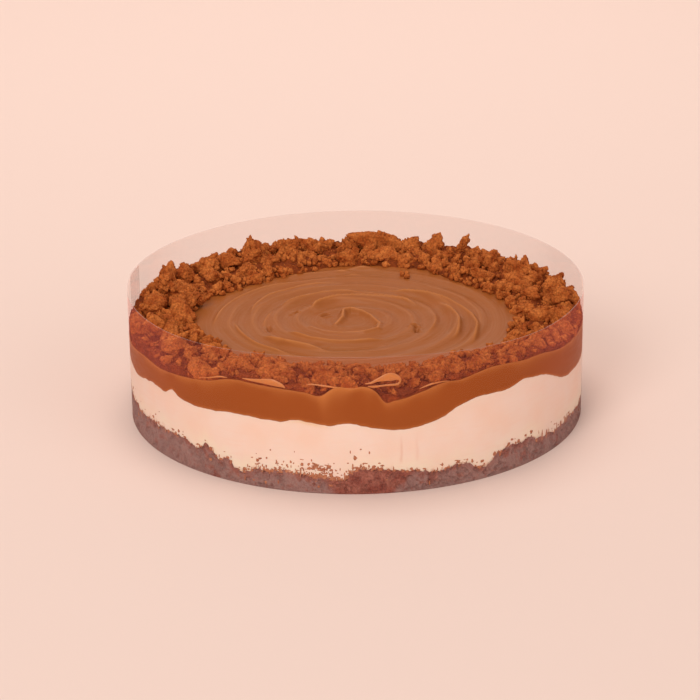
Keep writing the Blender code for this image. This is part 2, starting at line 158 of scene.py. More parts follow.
# Arcs about the same centre, in millimetres and degrees anticlockwise from +X:
# start angle, end angle, start radius, end radius, crest height
SWIRL_ARCS = [
    (137, 36, 25.5, 39.5, 1.3),
    (145, 84, 40, 39, 0.8),
    (162, 100, 52, 57, 0.9),
    (185, 121, 68, 63, 0.8),
    (60, -28, 48, 69, 1.2),
    (22, -23, 51, 58, 1.3),
    (8, -20, 43, 43.5, 0.6),
    (-67, -147, 33.5, 34.5, 0.9),
    (-109, -147, 45, 48, 1.3),
    (186, 238, 57, 57, 0.8),
    (188, 162, 43, 41, 0.6),
]
ARC_FADE = 9.0
ARC_STRENGTH = 1.4
# Widths in millimetres of an arc's bell on either side, and of the thin lip along it
CREST_INSIDE = 3.4
CREST_OUTSIDE = 1.3
LIP_WIDTH = 0.6
LIP_HEIGHT = 0.55
# The curl where the spatula was lifted: x, y, crest height in millimetres
CURL = [
    (-10, -16, 1.2), (-6.5, -8, 2.6), (-6, 1, 3.2), (-2.5, 4, 3.0), (3, 1.5, 2.4),
    (8, -6, 2.0), (12, -15, 1.8), (11, -23, 1.6), (4, -27.5, 1.5), (-6, -28, 1.3),
    (-15, -25, 1.1), (-22, -18, 0.8),
]
CURL_WIDTH = 1.7
# Small scars torn in the surface: start and end point, depth and width in millimetres
SCARS = [
    (27.5, -15.0, 30.5, -20.0, 2.4, 1.1),
    (30.5, -20.0, 30.0, -26.0, 2.2, 1.0),
    (-32.0, 4.0, -29.5, 1.5, 2.3, 1.2),
    (-17.5, -4.0, -13.0, 0.5, 2.0, 1.0),
    (-43.5, -16.0, -42.5, -24.0, 1.4, 1.0),
    (-31.5, 21.5, -27.5, 26.5, 0.9, 0.8),
    (-24.0, -42.0, -13.0, -45.5, 0.9, 1.6),
    (-42.0, -37.0, -36.0, -43.0, 0.9, 1.3),
]
# The rim pushed up round a scar: its place in scar widths and its height in scar depths
SCAR_RIM = 1.8
SCAR_RIM_HEIGHT = 0.35
# Ripples pushed up at the back: x, y, half length, half width, height in millimetres
RIPPLES = [
    (-7.0, 64.0, 6.0, 1.5, 1.6),
    (4.0, 68.0, 7.0, 1.6, 2.2),
    (-1.0, 60.5, 5.0, 2.0, 0.8),
]

# Crumb ring: a bed with lumps of cookie on it. Its inner edge by bearing, in millimetres
RING_TOE = [
    (-170, 75), (-158, 70), (-145, 69), (-130, 71), (-118, 75), (-107, 81), (-84, 83),
    (-66, 82), (-56, 79), (-45, 83), (-30, 80), (-10, 79), (4, 79), (20, 82), (33, 83),
    (43, 87), (50, 89), (60, 87), (72, 80), (86, 82), (97, 78), (112, 77), (125, 73),
    (140, 73), (151, 77), (162, 76),
]
# Rise of the bed over the caramel, at parts of the way from its inner edge to the film
BED_WAY = [0.0, 0.1, 0.4, 0.7, 1.0]
BED_RISE = [0.1 * MM, 1.0 * MM, 1.6 * MM, 1.7 * MM, 1.3 * MM]
# Level that the bed fills low places of the caramel towards, and how far
BED_LEVEL = 50.5 * MM
BED_FILL = 0.6
# Ordinary lumps: their shape, the part of their height that shows, the least of it that
# always does, and the lanes round the ring that they are dealt to in turn
LUMP_SHAPE = np.array([1.0, 0.85, 0.65])
LUMP_SHRINK = 0.88
LUMP_SHOWS = (0.45, 0.8)
LUMP_LEAST = 0.36
LUMP_LANES = (80 * MM, 103 * MM, 88 * MM, 110 * MM, 96 * MM)
LANE_SPREAD = 3 * MM
# Height in millimetres that the ordinary lumps reach, by bearing
LUMP_LINE = [
    (-170, 52.8), (-150, 53.8), (-135, 55.6), (-118, 56.8), (-97, 57.8), (-70, 58.5),
    (0, 58.5), (70, 58.5), (97, 58.3), (112, 57.3), (125, 56), (140, 54), (160, 53.8),
    (172, 54.5),
]
# At the front they also lie under a line that climbs towards the film
FRONT_LEVEL = 52.0 * MM
FRONT_CLIMB = 0.34
FRONT_HALF_WIDTH = 95.0
FRONT_EASE = 25.0
# Lumps that stand out: bearing, distance from the axis, top height, then width,
# depth and height of the lump, all but the bearing in millimetres
LANDMARKS = [
    (-146, 97, 60.2, 12, 11, 12),
    (154, 97, 57.8, 8, 8, 11),
    (-111, 104, 61.0, 10, 9, 10),
    (145, 101, 62.5, 4, 5, 11),
    (-144, 95, 55.5, 12, 9, 10),
    (-159, 98, 57.5, 11, 9, 10),
    (-119, 101, 57.5, 11, 9, 9),
    (-129, 99, 57.5, 12, 10, 9),
    (-136, 97, 57.0, 10, 10, 9),
    (-179, 98, 56.5, 9, 9, 8),
    (134, 98, 57.0, 12, 11, 9),
    (119, 99, 59.5, 11, 10, 10),
    (92, 103, 60.5, 12, 10, 10),
    (-88, 103, 58.5, 12, 10, 9),
    (-106, 103, 59.0, 9, 8, 8),
    (-168, 97, 55.5, 8, 8, 9),
    (163, 99, 56.5, 9, 8, 8),
    (101, 103, 60.0, 11, 10, 11),
    (78, 104, 58.5, 13, 11, 9),
    (-74, 103, 58.5, 13, 10, 10),
]
# Crumbs that fell on the swirl: bearing, distance from the axis and width in millimetres
STRAYS = [
    (157, 64, 3.4), (153.5, 61, 4.0), (155.5, 66, 2.6), (-9, 77, 5.5), (-6, 75, 4.5),
    (38, 77, 4),
]
# Flakes and sticks: bearing, distance from the axis, top height, width, thickness and
# length in millimetres, then lean, roll and heading in degrees
FLAKES = [
    (172, 98, 58.3, 31, 11, 13, 0, -14, 172),
    (170, 84, 55.5, 17, 4, 11, 40, 0, 170),
    (-7, 104, 59.5, 19, 5, 13, -40, 8, -7),
    (110, 88, 57.5, 15, 6, 13, 35, 0, 170),
    (-98, 84, 55.0, 17, 4, 4, 0, 15, -120),
    (-103, 89, 57.0, 15, 4, 4, 0, -10, -150),
    (-93, 88, 56.0, 14, 4, 4, 10, 20, -100),
    (-101, 80, 53.5, 12, 3, 4, 0, 5, -140),
    (-22, 106, 58.0, 16, 6, 10, -30, -10, -22),
    (24, 106, 58.5, 15, 6, 10, -25, 12, 24),
]
# Count of lumps, then their least and greatest width
LUMP_KINDS = [(48, 10 * MM, 18 * MM), (34, 7 * MM, 11 * MM)]
# Ordinary lumps end up to this much under the height they may reach
LUMP_DROP = 2.0 * MM
LUMP_SEED = 11
# Share of the small lumps that lie along the bed's inner edge, and how far in from there
HUGGING_SHARE = 0.4
HUGGING_REACH = (-1 * MM, 9 * MM)
# Shares of the small lumps and of the grains that lie on larger lumps
SMALL_ON_LUMPS = 0.2
GRAINS_ON_LUMPS = 0.6
# Width, depth and height of the smaller crumbs, as parts of their size
CRUMB_SHAPE = (1.0, 0.9, 0.8)
# A pebble is cut by planes in even directions, each tilted a little, at these distances from
# its middle. The sharpness is the power that rounds their edges
PEBBLE_PLANES = 11
PEBBLE_TILT = 0.35
PEBBLE_PLANE_REACH = (0.66, 1.12)
PEBBLE_SHARPNESS = 14

# Specks caught in the cream: mean heights above the biscuit, in general and at the front
SPECK_REACH = 1.3 * MM
SPECK_FRONT_REACH = 2.6 * MM
# Shares of them at the front, in the heap there, close to the biscuit and fallen below it
SPECK_FRONT_SHARE = 0.22
SPECK_HEAP_SHARE = 0.07
SPECK_CLOSE_SHARE = 0.3
SPECK_FALLEN_SHARE = 0.03
# Bearings between which the front patch lies; the heap's middle and spread, by bearing and
# by height; heights of the close and of the fallen ones; the most height of any over the
# biscuit's edge, and the least over the floor
SPECK_FRONT = (-28, 3)
SPECK_HEAP = (-8.5, 1.6)
SPECK_HEAP_HEIGHT = (4.5 * MM, 1.1 * MM)
SPECK_CLOSE = (-0.6 * MM, 0.8 * MM)
SPECK_FALLEN = (-9 * MM, -1 * MM)
SPECK_MOST = 11 * MM
SPECK_LEAST = 3 * MM
SPECK_SHAPE = (1.0, 0.45, 0.8)
# Tall specks at the right: their bearing, its half width and how they are stretched
SPECK_TALL = 58
SPECK_TALL_HALF_WIDTH = 9
SPECK_TALL_SHAPE = (0.7, 1.0, 2.6)

# The film's gloss, raised and tinted as a painted reflection of red surroundings: strength,
# upper limit, roughness, and the heights between which its tint changes. Low down it is
# strong even where the food wets the film
GLOSS_STRENGTH = 1.7
GLOSS_MOST = 0.17
GLOSS_ROUGHNESS = 0.05
GLOSS_TONE = (14 * MM, 44 * MM)
GLOSS_WET = 0.5
GLOSS_LOW = (12 * MM, 22 * MM)

# The photographed view
CAMERA_PLACE = (0.0, -1.2146, 0.4950)
CAMERA_PITCH = 0.3665
CAMERA_YAW = -0.0024
CAMERA_ROLL = -0.0106
CAMERA_LENS = 131.8


def smooth(t):
    """0 below 0, 1 above 1 and the even ease 3t^2 - 2t^3 between."""
    t = np.clip(t, 0, 1)
    return t * t * (3 - 2 * t)


def around(points, bearing):
    """Height in metres at each bearing: a closed cubic Hermite curve through the points."""
    knots, heights = np.array(points, float).T
    knots = np.concatenate([knots - 360, knots, knots + 360])
    heights = np.tile(heights, 3)
    slopes = np.gradient(heights, knots)
    i = np.clip(np.searchsorted(knots, bearing, side="right") - 1, 0, len(knots) - 2)
    width = knots[i + 1] - knots[i]
    t = (bearing - knots[i]) / width
    start = (1 + 2 * t) * (1 - t) ** 2 * heights[i] + t * (1 - t) ** 2 * width * slopes[i]
    end = t * t * (3 - 2 * t) * heights[i + 1] - t * t * (1 - t) * width * slopes[i + 1]
    return (start + end) * MM


def bearing_of(x, y):
    """Angle of a plan point from the front, -Y, in degrees towards +X."""
    return np.degrees(np.arctan2(x, -y))


def lattice_value(ix, iy, iz, seed):
    """A repeatable value from 0 to 1 at each lattice point, by mixing its whole numbers."""
    mixed = (ix * 374761393 + iy * 668265263 + iz * 1103515245 + seed * 12345677) & 0xFFFFFFFF
    mixed = ((mixed ^ (mixed >> 15)) * 739982445) & 0xFFFFFFFF
    mixed = ((mixed ^ (mixed >> 12)) * 695872825) & 0xFFFFFFFF
    return (mixed ^ (mixed >> 15)) / 4294967295.0


def soft_noise(points, seed=0):
    """Smooth noise from -1 to 1: lattice values blended by 6t^5 - 15t^4 + 10t^3 on each axis."""
    base = np.floor(points).astype(np.int64)
    t = points - base
    t = t * t * t * (t * (t * 6 - 15) + 10)
    total = np.zeros(points.shape[:-1])
    for cx, cy, cz in np.ndindex(2, 2, 2):
        wx = t[..., 0] if cx else 1 - t[..., 0]
        wy = t[..., 1] if cy else 1 - t[..., 1]
        wz = t[..., 2] if cz else 1 - t[..., 2]
        value = lattice_value(base[..., 0] + cx, base[..., 1] + cy, base[..., 2] + cz, seed)
        total += wx * wy * wz * value
    return total * 2 - 1


def fractal(points, octaves, seed=0):
    """Sum of soft noise at doubling frequency and halving height."""
    total = np.zeros(points.shape[:-1])
    for octave in range(octaves):
        total += soft_noise(points * 2**octave + 7.3 * octave, seed + octave) / 2**octave
    return total


def granules(points, seed=0):
    """Rounded grains packed together: 1 at each grain's middle, falling as 1 - distance^2."""
    base = np.floor(points).astype(np.int64)
    nearest = np.full(points.shape[:-1], 9.0)
    for cx, cy, cz in np.ndindex(3, 3, 3):
        ix = base[..., 0] + cx - 1
        iy = base[..., 1] + cy - 1
        iz = base[..., 2] + cz - 1
        dx = ix + lattice_value(ix, iy, iz, seed) - points[..., 0]
        dy = iy + lattice_value(ix, iy, iz, seed + 1) - points[..., 1]
        dz = iz + lattice_value(ix, iy, iz, seed + 2) - points[..., 2]
        nearest = np.minimum(nearest, dx * dx + dy * dy + dz * dz)
    return 1 - nearest


def flat_noise(x, y, width, octaves=1, seed=0):
    """Noise over the plan, with features as wide as width, in metres."""
    points = np.stack([x / width, y / width, np.zeros(np.shape(x)) + 0.5], axis=-1)
    return fractal(points, octaves, seed)


def film_radius(turned):
    """Inner radius of the rolled film after some degrees: each turn adds a film and a gap."""
    return FOOD_RADIUS + FILM_GAP + (FILM + FILM_GAP) * turned / 360


def film_inner(bearing):
    """Radius of the film's innermost face at a bearing."""
    return film_radius((bearing - COLLAR_JOIN_BEARING + COLLAR_LAP / 2) % 360)


def edge_blend(x, y, level, edge_points):
    """A flat level inside that bends to the edge's own height at the film.

    The edge's weight is the smooth ease from EDGE_START of the radius, to a power.
    """
    reach = np.hypot(x, y) / FOOD_RADIUS
    weight = smooth((reach - EDGE_START) / (1 - EDGE_START)) ** EDGE_EASE
    edge = around(edge_points, bearing_of(x, y))
    return level + (edge - level) * weight


def caramel_body(x, y):
    """Top of the caramel without its swirl."""
    return edge_blend(x, y, CARAMEL_LEVEL, CARAMEL_EDGE)


def crust_top(x, y):
    """The pressed biscuit's broken upper edge: its level, plus noise at four sizes."""
    ragged = 1.0 * flat_noise(x, y, 6 * MM, 1, 3)
    ragged = ragged + 0.9 * flat_noise(x, y, 2.3 * MM, 1, 4)
    ragged = ragged + 0.9 * flat_noise(x, y, 1.0 * MM, 1, 5)
    ragged = ragged + 0.4 * flat_noise(x, y, 0.6 * MM, 1, 6)
    return edge_blend(x, y, CRUST_LEVEL, CRUST_EDGE) + ragged * MM


def cream_top(x, y):
    """The line between cream and caramel, slightly uneven."""
    uneven = 0.28 * flat_noise(x, y, 12 * MM, 2, 8) + 0.34 * flat_noise(x, y, 2.2 * MM, 2, 9)
    return edge_blend(x, y, CREAM_LEVEL, CREAM_EDGE) + uneven * MM


def arc_crest(angle, radius, arc):
    """One swirl arc: a bell that is wide inside and narrow outside, and the thin lip on it.

    Both are exp(-(offset / width)^2) across the arc, whose radius goes evenly from near to far.
    """
    first, last, near, far, height = arc
    middle = (first + last) / 2
    turned = (angle - middle + 180) % 360 - 180
    half = (first - last) / 2
    along = np.clip(0.5 - turned / abs(2 * half) * np.sign(half), 0, 1)
    offset = radius - (near + (far - near) * along)
    width = np.where(offset < 0, CREST_INSIDE, CREST_OUTSIDE)
    fade = smooth((abs(half) + ARC_FADE - np.abs(turned)) / (2 * ARC_FADE))
    lip = fade * np.exp(-((offset / LIP_WIDTH) ** 2))
    return height * fade * np.exp(-((offset / width) ** 2)), lip


def nearest_on_line(x, y, points):
    """Distance to a bent line and the third number of its points there, blended between."""
    best = np.full(np.shape(x), 1e9)
    third = np.zeros(np.shape(x))
    for (ax, ay, ah), (bx, by, bh) in zip(points, points[1:]):
        run = (bx - ax) ** 2 + (by - ay) ** 2
        t = np.clip(((x - ax) * (bx - ax) + (y - ay) * (by - ay)) / run, 0, 1)
        far = np.hypot(x - ax - t * (bx - ax), y - ay - t * (by - ay))
        third = np.where(far < best, ah + t * (bh - ah), third)
        best = np.minimum(far, best)
    return best, third


def swirl(x, y):
    """Relief of the spread caramel in metres, and a mask of thin lines along its crests, where a
    paler colour is painted as a painted highlight.

    It is a faint spiral cosine, plus the arcs, the curl's bell and the ripples, less the scars,
    which are deepest in the middle and have a low rim. Noise drawn out round the centre adds
    fine rings. All of it fades out at the swirl's radius.
    """
    dx = (x - SWIRL_CENTRE[0]) / MM
    dy = (y - SWIRL_CENTRE[1]) / MM
    radius = np.hypot(dx, dy)
    angle = np.degrees(np.arctan2(dy, dx))
    radius = radius + SWIRL_WANDER * flat_noise(x, y, 16 * MM, 2, 21)
    turn = (radius - SWIRL_PHASE) / SWIRL_PITCH + angle / 360
    strength = 0.65 + 0.5 * flat_noise(x, y, 26 * MM, 1, 22)
    wave = np.cos(2 * math.pi * turn)
    relief = SWIRL_DEPTH * strength * wave * smooth(radius / SWIRL_EYE)
    crest_highlight = 0.35 * strength * np.clip(wave, 0, 1) ** 12
    crest_highlight = crest_highlight * smooth(radius / SWIRL_EYE - 0.5)
    for arc in SWIRL_ARCS:
        bell, lip = arc_crest(angle, radius, arc)
        relief = relief + ARC_STRENGTH * (bell + LIP_HEIGHT * lip * arc[4])
        crest_highlight = np.maximum(crest_highlight, lip * arc[4])
    far, height = nearest_on_line(x / MM, y / MM, CURL)
    relief = relief + height * np.exp(-((far / CURL_WIDTH) ** 2))
    crest_highlight = np.maximum(crest_highlight, np.exp(-((far / LIP_WIDTH) ** 2)))
    for x0, y0, x1, y1, depth, width in SCARS:
        middle = ((x0 + x1) / 2, (y0 + y1) / 2, 1)
        far, taper = nearest_on_line(x / MM, y / MM, [(x0, y0, 0), middle, (x1, y1, 0)])
        deep = depth * np.sqrt(taper)
        relief = relief - deep * np.exp(-((far / width) ** 2))
        rim = np.exp(-(((far - SCAR_RIM * width) / width) ** 2))
        relief = relief + SCAR_RIM_HEIGHT * deep * rim
    for x0, y0, long, wide, height in RIPPLES:
        bell = np.exp(-(((x / MM - x0) / long) ** 2) - ((y / MM - y0) / wide) ** 2)
        relief = relief + height * bell
        crest_highlight = np.maximum(crest_highlight, bell**6)
    ring = np.stack([radius * 1.9, dx / radius.clip(1) * 4, dy / radius.clip(1) * 4], axis=-1)
    relief = relief + SWIRL_RINGS * fractal(ring, 2, 31) * smooth(radius / 6)
    inside = smooth((SWIRL_RADIUS + 4 * MM - np.hypot(x, y)) / SWIRL_FADE)
    return relief * inside * MM, crest_highlight * inside


def caramel_top(x, y):
    """Top of the caramel: its body plus the swirl's relief."""
    return caramel_body(x, y) + swirl(x, y)[0]


def bed_top(x, y):
    """Top of the bed of fine crumbs: it rises from its toe and fills low places of the caramel."""
    under = caramel_body(x, y)
    toe = around(RING_TOE, bearing_of(x, y))
    way = (np.hypot(x, y) - toe) / (FOOD_RADIUS - toe)
    rise = np.interp(way, BED_WAY, BED_RISE)
    away = smooth(way / BED_WAY[1])
    fill = BED_FILL * np.maximum(0, BED_LEVEL - under - rise)
    return under + rise + away * (fill + 1.0 * MM * flat_noise(x, y, 7 * MM, 1, 41))


def lump_limit(x, y):
    """Height that no ordinary lump passes: at the front it climbs from the toe outwards."""
    bearing = bearing_of(x, y)
    front = smooth((FRONT_HALF_WIDTH - np.abs(bearing)) / FRONT_EASE)
    line = around(LUMP_LINE, bearing)
    climb = FRONT_LEVEL + FRONT_CLIMB * (np.hypot(x, y) - around(RING_TOE, bearing))
    return line + (np.minimum(climb, line) - line) * front


def make_mesh(name, points, *face_sets):
    """Mesh from an array of points and arrays of faces, each array with its own corner count."""
    mesh = bpy.data.meshes.new(name)
    mesh.vertices.add(len(points))
    mesh.vertices.foreach_set("co", np.asarray(points, np.float32).ravel())
    corners = np.concatenate([faces.ravel() for faces in face_sets])
    counts = np.concatenate([np.full(len(faces), faces.shape[1]) for faces in face_sets])
    mesh.loops.add(len(corners))
    mesh.loops.foreach_set("vertex_index", corners.astype(np.int32))
    mesh.polygons.add(len(counts))
    starts = np.concatenate([[0], np.cumsum(counts)[:-1]])
    mesh.polygons.foreach_set("loop_start", starts.astype(np.int32))
    mesh.update(calc_edges=True)
    mesh.validate()
    return mesh


def add_value(mesh, name, values):
    """Stores one number for each point of the mesh, for its material to read."""
    layer = mesh.attributes.new(name, "FLOAT", "POINT")
    layer.data.foreach_set("value", np.asarray(values, np.float32).ravel())


def ring_faces(rows, columns):
    """Quads between rings that each close on themselves, from the first ring down."""
    i, j = np.meshgrid(np.arange(rows - 1), np.arange(columns), indexing="ij")
    k = (j + 1) % columns
    corners = [i * columns + j, (i + 1) * columns + j, (i + 1) * columns + k, i * columns + k]
    return np.stack(corners, axis=-1).reshape(-1, 4)


def pole_faces(rows, columns):
    """Triangles that join the first and last ring to the two poles, the points after them."""
    j = np.arange(columns)
    k = (j + 1) % columns
    last = (rows - 1) * columns
    up = np.stack([np.full(columns, rows * columns), j, k], axis=-1)
    down = np.stack([np.full(columns, rows * columns + 1), last + k, last + j], axis=-1)
    return np.concatenate([up, down])


def ring_solid(name, rings, top, bottom):
    """Closed solid from rings of points, top pole outwards and down to the bottom pole."""
    rings = np.array(rings)
    rows, columns = rings.shape[:2]
    points = np.concatenate([rings.reshape(-1, 3), [top, bottom]])
    return make_mesh(name, points, ring_faces(rows, columns), pole_faces(rows, columns))


def points_of(mesh):
    """Three arrays with the coordinates of a mesh's points."""
    points = np.empty(len(mesh.vertices) * 3)
    mesh.vertices.foreach_get("co", points)
    return points.reshape(-1, 3).T


def place(mesh, mat):
    """Puts a finished mesh in the scene, riding on the cake, with its material and slot."""
    mesh.materials.append(mat)
    mesh.shade_smooth()
    obj = bpy.data.objects.new(mesh.name, mesh)
    bpy.context.scene.collection.objects.link(obj)
    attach(obj, "root")
    return obj


def node(tree, kind, **values):
    """New shader node with some of its settings."""
    made = tree.nodes.new(kind)
    for key, value in values.items():
        setattr(made, key, value)
    return made


def wire(tree, source, target):
    """Link from one socket to another."""
    tree.links.new(source, target)


def blend_colours(tree, amount, first, second):
    """Mix node for colours: amount, first and second are sockets or plain values."""
    mix = node(tree, "ShaderNodeMix", data_type="RGBA")
    for index, value in ((0, amount), (6, first), (7, second)):
        socket = mix.inputs[index]
        if isinstance(value, bpy.types.NodeSocket):
            wire(tree, value, socket)
        else:
            socket.default_value = value
    return mix.outputs[2]


def ranged(tree, source, low, high, start=0.0, end=1.0):
    """Map Range node, clamped."""
    mapped = node(tree, "ShaderNodeMapRange", clamp=True)
    wire(tree, source, mapped.inputs["Value"])
    mapped.inputs["From Min"].default_value = low
    mapped.inputs["From Max"].default_value = high
    mapped.inputs["To Min"].default_value = start
    mapped.inputs["To Max"].default_value = end
    return mapped.outputs["Result"]


def combine(tree, operation, first, second):
    """Math node with two inputs, sockets or plain numbers."""
    made = node(tree, "ShaderNodeMath", operation=operation)
    for socket, value in zip(made.inputs, (first, second)):
        if isinstance(value, bpy.types.NodeSocket):
            wire(tree, value, socket)
        else:
            socket.default_value = value
    return made.outputs[0]


def noise_node(tree, vector, scale, detail=2.0, roughness=0.5):
    """Noise texture over a vector; returns the socket with its value."""
    made = node(tree, "ShaderNodeTexNoise")
    made.inputs["Scale"].default_value = scale
    made.inputs["Detail"].default_value = detail
    made.inputs["Roughness"].default_value = roughness
    wire(tree, vector, made.inputs["Vector"])
    return made.outputs["Fac"]


def new_group(name, inputs, outputs):
    """Node group with typed sockets; returns the tree, its input node and its output node."""
    tree = bpy.data.node_groups.new(name, "ShaderNodeTree")
    for label, kind in inputs:
        tree.interface.new_socket(label, in_out="INPUT", socket_type=kind)
    for label, kind in outputs:
        tree.interface.new_socket(label, in_out="OUTPUT", socket_type=kind)
    return tree, tree.nodes.new("NodeGroupInput"), tree.nodes.new("NodeGroupOutput")


def baked_grain_group():
    """Baked crumb: grains with painted shade in the gaps between them, toasted patches, and fine
    pale and dark specks.
    """
    found = bpy.data.node_groups.get("Baked grain")
    if found:
        return found
    tree, entry, leave = new_group(
        "Baked grain",
        [
            ("Vector", "NodeSocketVector"),
            ("Dark and gap shade", "NodeSocketColor"),
            ("Body", "NodeSocketColor"),
            ("Light", "NodeSocketColor"),
        ],
        [
            ("Color", "NodeSocketColor"),
            ("Roughness", "NodeSocketFloat"),
            ("Height", "NodeSocketFloat"),
        ],
    )
    vector = entry.outputs["Vector"]
    patches = noise_node(tree, vector, 160.0, 3.0, 0.6)
    specks = noise_node(tree, vector, 1500.0, 3.0, 0.65)
    cells = node(tree, "ShaderNodeTexVoronoi", feature="F1")
    cells.inputs["Scale"].default_value = 900.0
    wire(tree, vector, cells.inputs["Vector"])
    # Painted shade: the gaps between grains go towards the dark colour
    gap_shade = ranged(tree, cells.outputs["Distance"], 0.35, 0.85)
    toned = blend_colours(
        tree, ranged(tree, patches, 0.35, 0.68), entry.outputs["Body"], entry.outputs["Light"]
    )
    gap_shaded = blend_colours(
        tree, combine(tree, "MULTIPLY", gap_shade, 0.5), toned, entry.outputs["Dark and gap shade"]
    )
    pale = ranged(tree, specks, 0.56, 0.75, 0.0, 0.7)
    speckled = blend_colours(tree, pale, gap_shaded, entry.outputs["Light"])
    dark = ranged(tree, specks, 0.44, 0.27, 0.0, 0.65)
    wire(tree, blend_colours(tree, dark, speckled, entry.outputs["Dark and gap shade"]), leave.inputs["Color"])
    wire(tree, ranged(tree, specks, 0.3, 0.7, 0.75, 0.95), leave.inputs["Roughness"])
    lifted = combine(tree, "MULTIPLY", cells.outputs["Distance"], -0.6)
    wire(tree, combine(tree, "ADD", lifted, specks), leave.inputs["Height"])
    return tree


def spread_group():
    """Marks of a spread surface: soft blotches and fine streaks that follow the vector's x."""
    found = bpy.data.node_groups.get("Spread marks")
    if found:
        return found
    tree, entry, leave = new_group(
        "Spread marks",
        [("Vector", "NodeSocketVector"), ("Streaks", "NodeSocketVector")],
        [(label, "NodeSocketFloat") for label in ("Blotch", "Streak", "Fine")],
    )
    wire(tree, noise_node(tree, entry.outputs["Vector"], 45.0, 3.0), leave.inputs["Blotch"])
    wire(tree, noise_node(tree, entry.outputs["Streaks"], 1.0, 3.0, 0.6), leave.inputs["Streak"])
    wire(tree, noise_node(tree, entry.outputs["Vector"], 900.0, 2.0), leave.inputs["Fine"])
    return tree


def new_material(name, roughness, specular=0.5):
    """Material with a Principled shader; returns it, its tree and the shader node."""
    mat = bpy.data.materials.new(name)
    mat.use_nodes = True
    shader = mat.node_tree.nodes["Principled BSDF"]
    shader.inputs["Roughness"].default_value = roughness
    shader.inputs["Specular IOR Level"].default_value = specular
    return mat, mat.node_tree, shader


def place_group(tree, group):
    """Node that holds a node group."""
    return node(tree, "ShaderNodeGroup", node_tree=group)


def mesh_value(tree, name):
    """Socket with the number that add_value stored under a name."""
    return node(tree, "ShaderNodeAttribute", attribute_name=name).outputs["Fac"]


def object_place(tree):
    """Socket with a point's place in the space of its object."""
    return node(tree, "ShaderNodeTexCoord").outputs["Object"]


def spread_marks(tree):
    """Outputs of the spread marks, with streaks along the map that set_spread_map makes."""
    marks = place_group(tree, spread_group())
    wire(tree, object_place(tree), marks.inputs["Vector"])
    streaks = node(tree, "ShaderNodeUVMap", uv_map="spread").outputs["UV"]
    wire(tree, streaks, marks.inputs["Streaks"])
    return marks.outputs


def add_bump(tree, shader, height, strength, distance):
    """Bump from a socket with a height. The distance is in metres."""
    bump = node(tree, "ShaderNodeBump")
    bump.inputs["Strength"].default_value = strength
    bump.inputs["Distance"].default_value = distance
    wire(tree, height, bump.inputs["Height"])
    wire(tree, bump.outputs["Normal"], shader.inputs["Normal"])


def opaque(colour):
    """Colour with an alpha of one, as shader sockets want it."""
    return (*colour[:3], 1.0)


def crumb_material(name, dark, body, light, painted_reflection=None):
    """Dry baked crumb. A painted reflection colour, the film's greyish veil over crumb that lies
    off it, is mixed in where the mesh value for it is high.
    """
    mat, tree, shader = new_material(name, 0.85, 0.12)
    grain = place_group(tree, baked_grain_group())
    wire(tree, object_place(tree), grain.inputs["Vector"])
    grain.inputs["Dark and gap shade"].default_value = opaque(dark)
    grain.inputs["Body"].default_value = opaque(body)
    grain.inputs["Light"].default_value = opaque(light)
    colour = grain.outputs["Color"]
    if painted_reflection is not None:
        # Painted reflection: the film's greyish veil where the crumb lies off it
        grained = ranged(tree, grain.outputs["Height"], 0.0, 0.4, 0.62, 1.0)
        amount = combine(tree, "MULTIPLY", mesh_value(tree, "painted_reflection"), grained)
        colour = blend_colours(tree, amount, colour, opaque(painted_reflection))
    wire(tree, colour, shader.inputs["Base Color"])
    wire(tree, grain.outputs["Roughness"], shader.inputs["Roughness"])
    add_bump(tree, shader, grain.outputs["Height"], 0.7, 0.35 * MM)
    return mat


def caramel_material(colours):
    """Spread caramel: satin, with paler colour along its crests as a painted highlight, and paler
    where it thins out at the film.
    """
    mat, tree, shader = new_material("Spread caramel", 0.4, 0.3)
    marks = spread_marks(tree)
    side = mesh_value(tree, "side")
    # Paler colour along the crests: a painted highlight
    crest_highlight = combine(tree, "MULTIPLY", mesh_value(tree, "crest_highlight"), 0.85)
    colour = opaque(colours.caramel)
    for amount, over in (
        (ranged(tree, marks["Blotch"], 0.35, 0.65), colours.caramel_warm),
        (ranged(tree, marks["Streak"], 0.4, 0.72, 0.0, 0.4), colours.caramel_deep),
        (crest_highlight, colours.caramel_pale_and_highlight),
        (side, colours.caramel_deep),
        (mesh_value(tree, "thin"), colours.caramel_pale_and_highlight),
    ):
        colour = blend_colours(tree, amount, colour, opaque(over))
    wire(tree, colour, shader.inputs["Base Color"])
    wire(tree, ranged(tree, marks["Streak"], 0.3, 0.7, 0.36, 0.5), shader.inputs["Roughness"])
    on_top = combine(tree, "SUBTRACT", 1.0, side)
    gloss = ranged(tree, on_top, 0.0, 1.0, 0.05, 0.22)
    wire(tree, gloss, shader.inputs["Specular IOR Level"])
    height = combine(tree, "MULTIPLY", marks["Streak"], on_top)
    add_bump(tree, shader, height, 0.35, 0.25 * MM)
    return mat


def cream_material(colours):
    """Set cream pressed to the film: soft blotches, faint smears and a few deeper marks."""
    mat, tree, shader = new_material("Set cream", 0.45, 0.4)
    marks = spread_marks(tree)
    colour = opaque(colours.cream)
    for amount, over in (
        (ranged(tree, marks["Blotch"], 0.35, 0.65), colours.cream_warm),
        (mesh_value(tree, "low"), colours.cream_low),
        (mesh_value(tree, "stain"), colours.cream_stain),
        (ranged(tree, marks["Streak"], 0.52, 0.75, 0.0, 0.55), colours.cream_warm),
        (mesh_value(tree, "rich"), colours.cream_rich),
    ):
        colour = blend_colours(tree, amount, colour, opaque(over))
    wire(tree, colour, shader.inputs["Base Color"])
    wire(tree, ranged(tree, marks["Streak"], 0.3, 0.7, 0.38, 0.55), shader.inputs["Roughness"])
    shader.inputs["Subsurface Weight"].default_value = 0.15
    shader.inputs["Subsurface Radius"].default_value = (0.006, 0.003, 0.002)
    shader.inputs["Subsurface Scale"].default_value = 1.0
    return mat


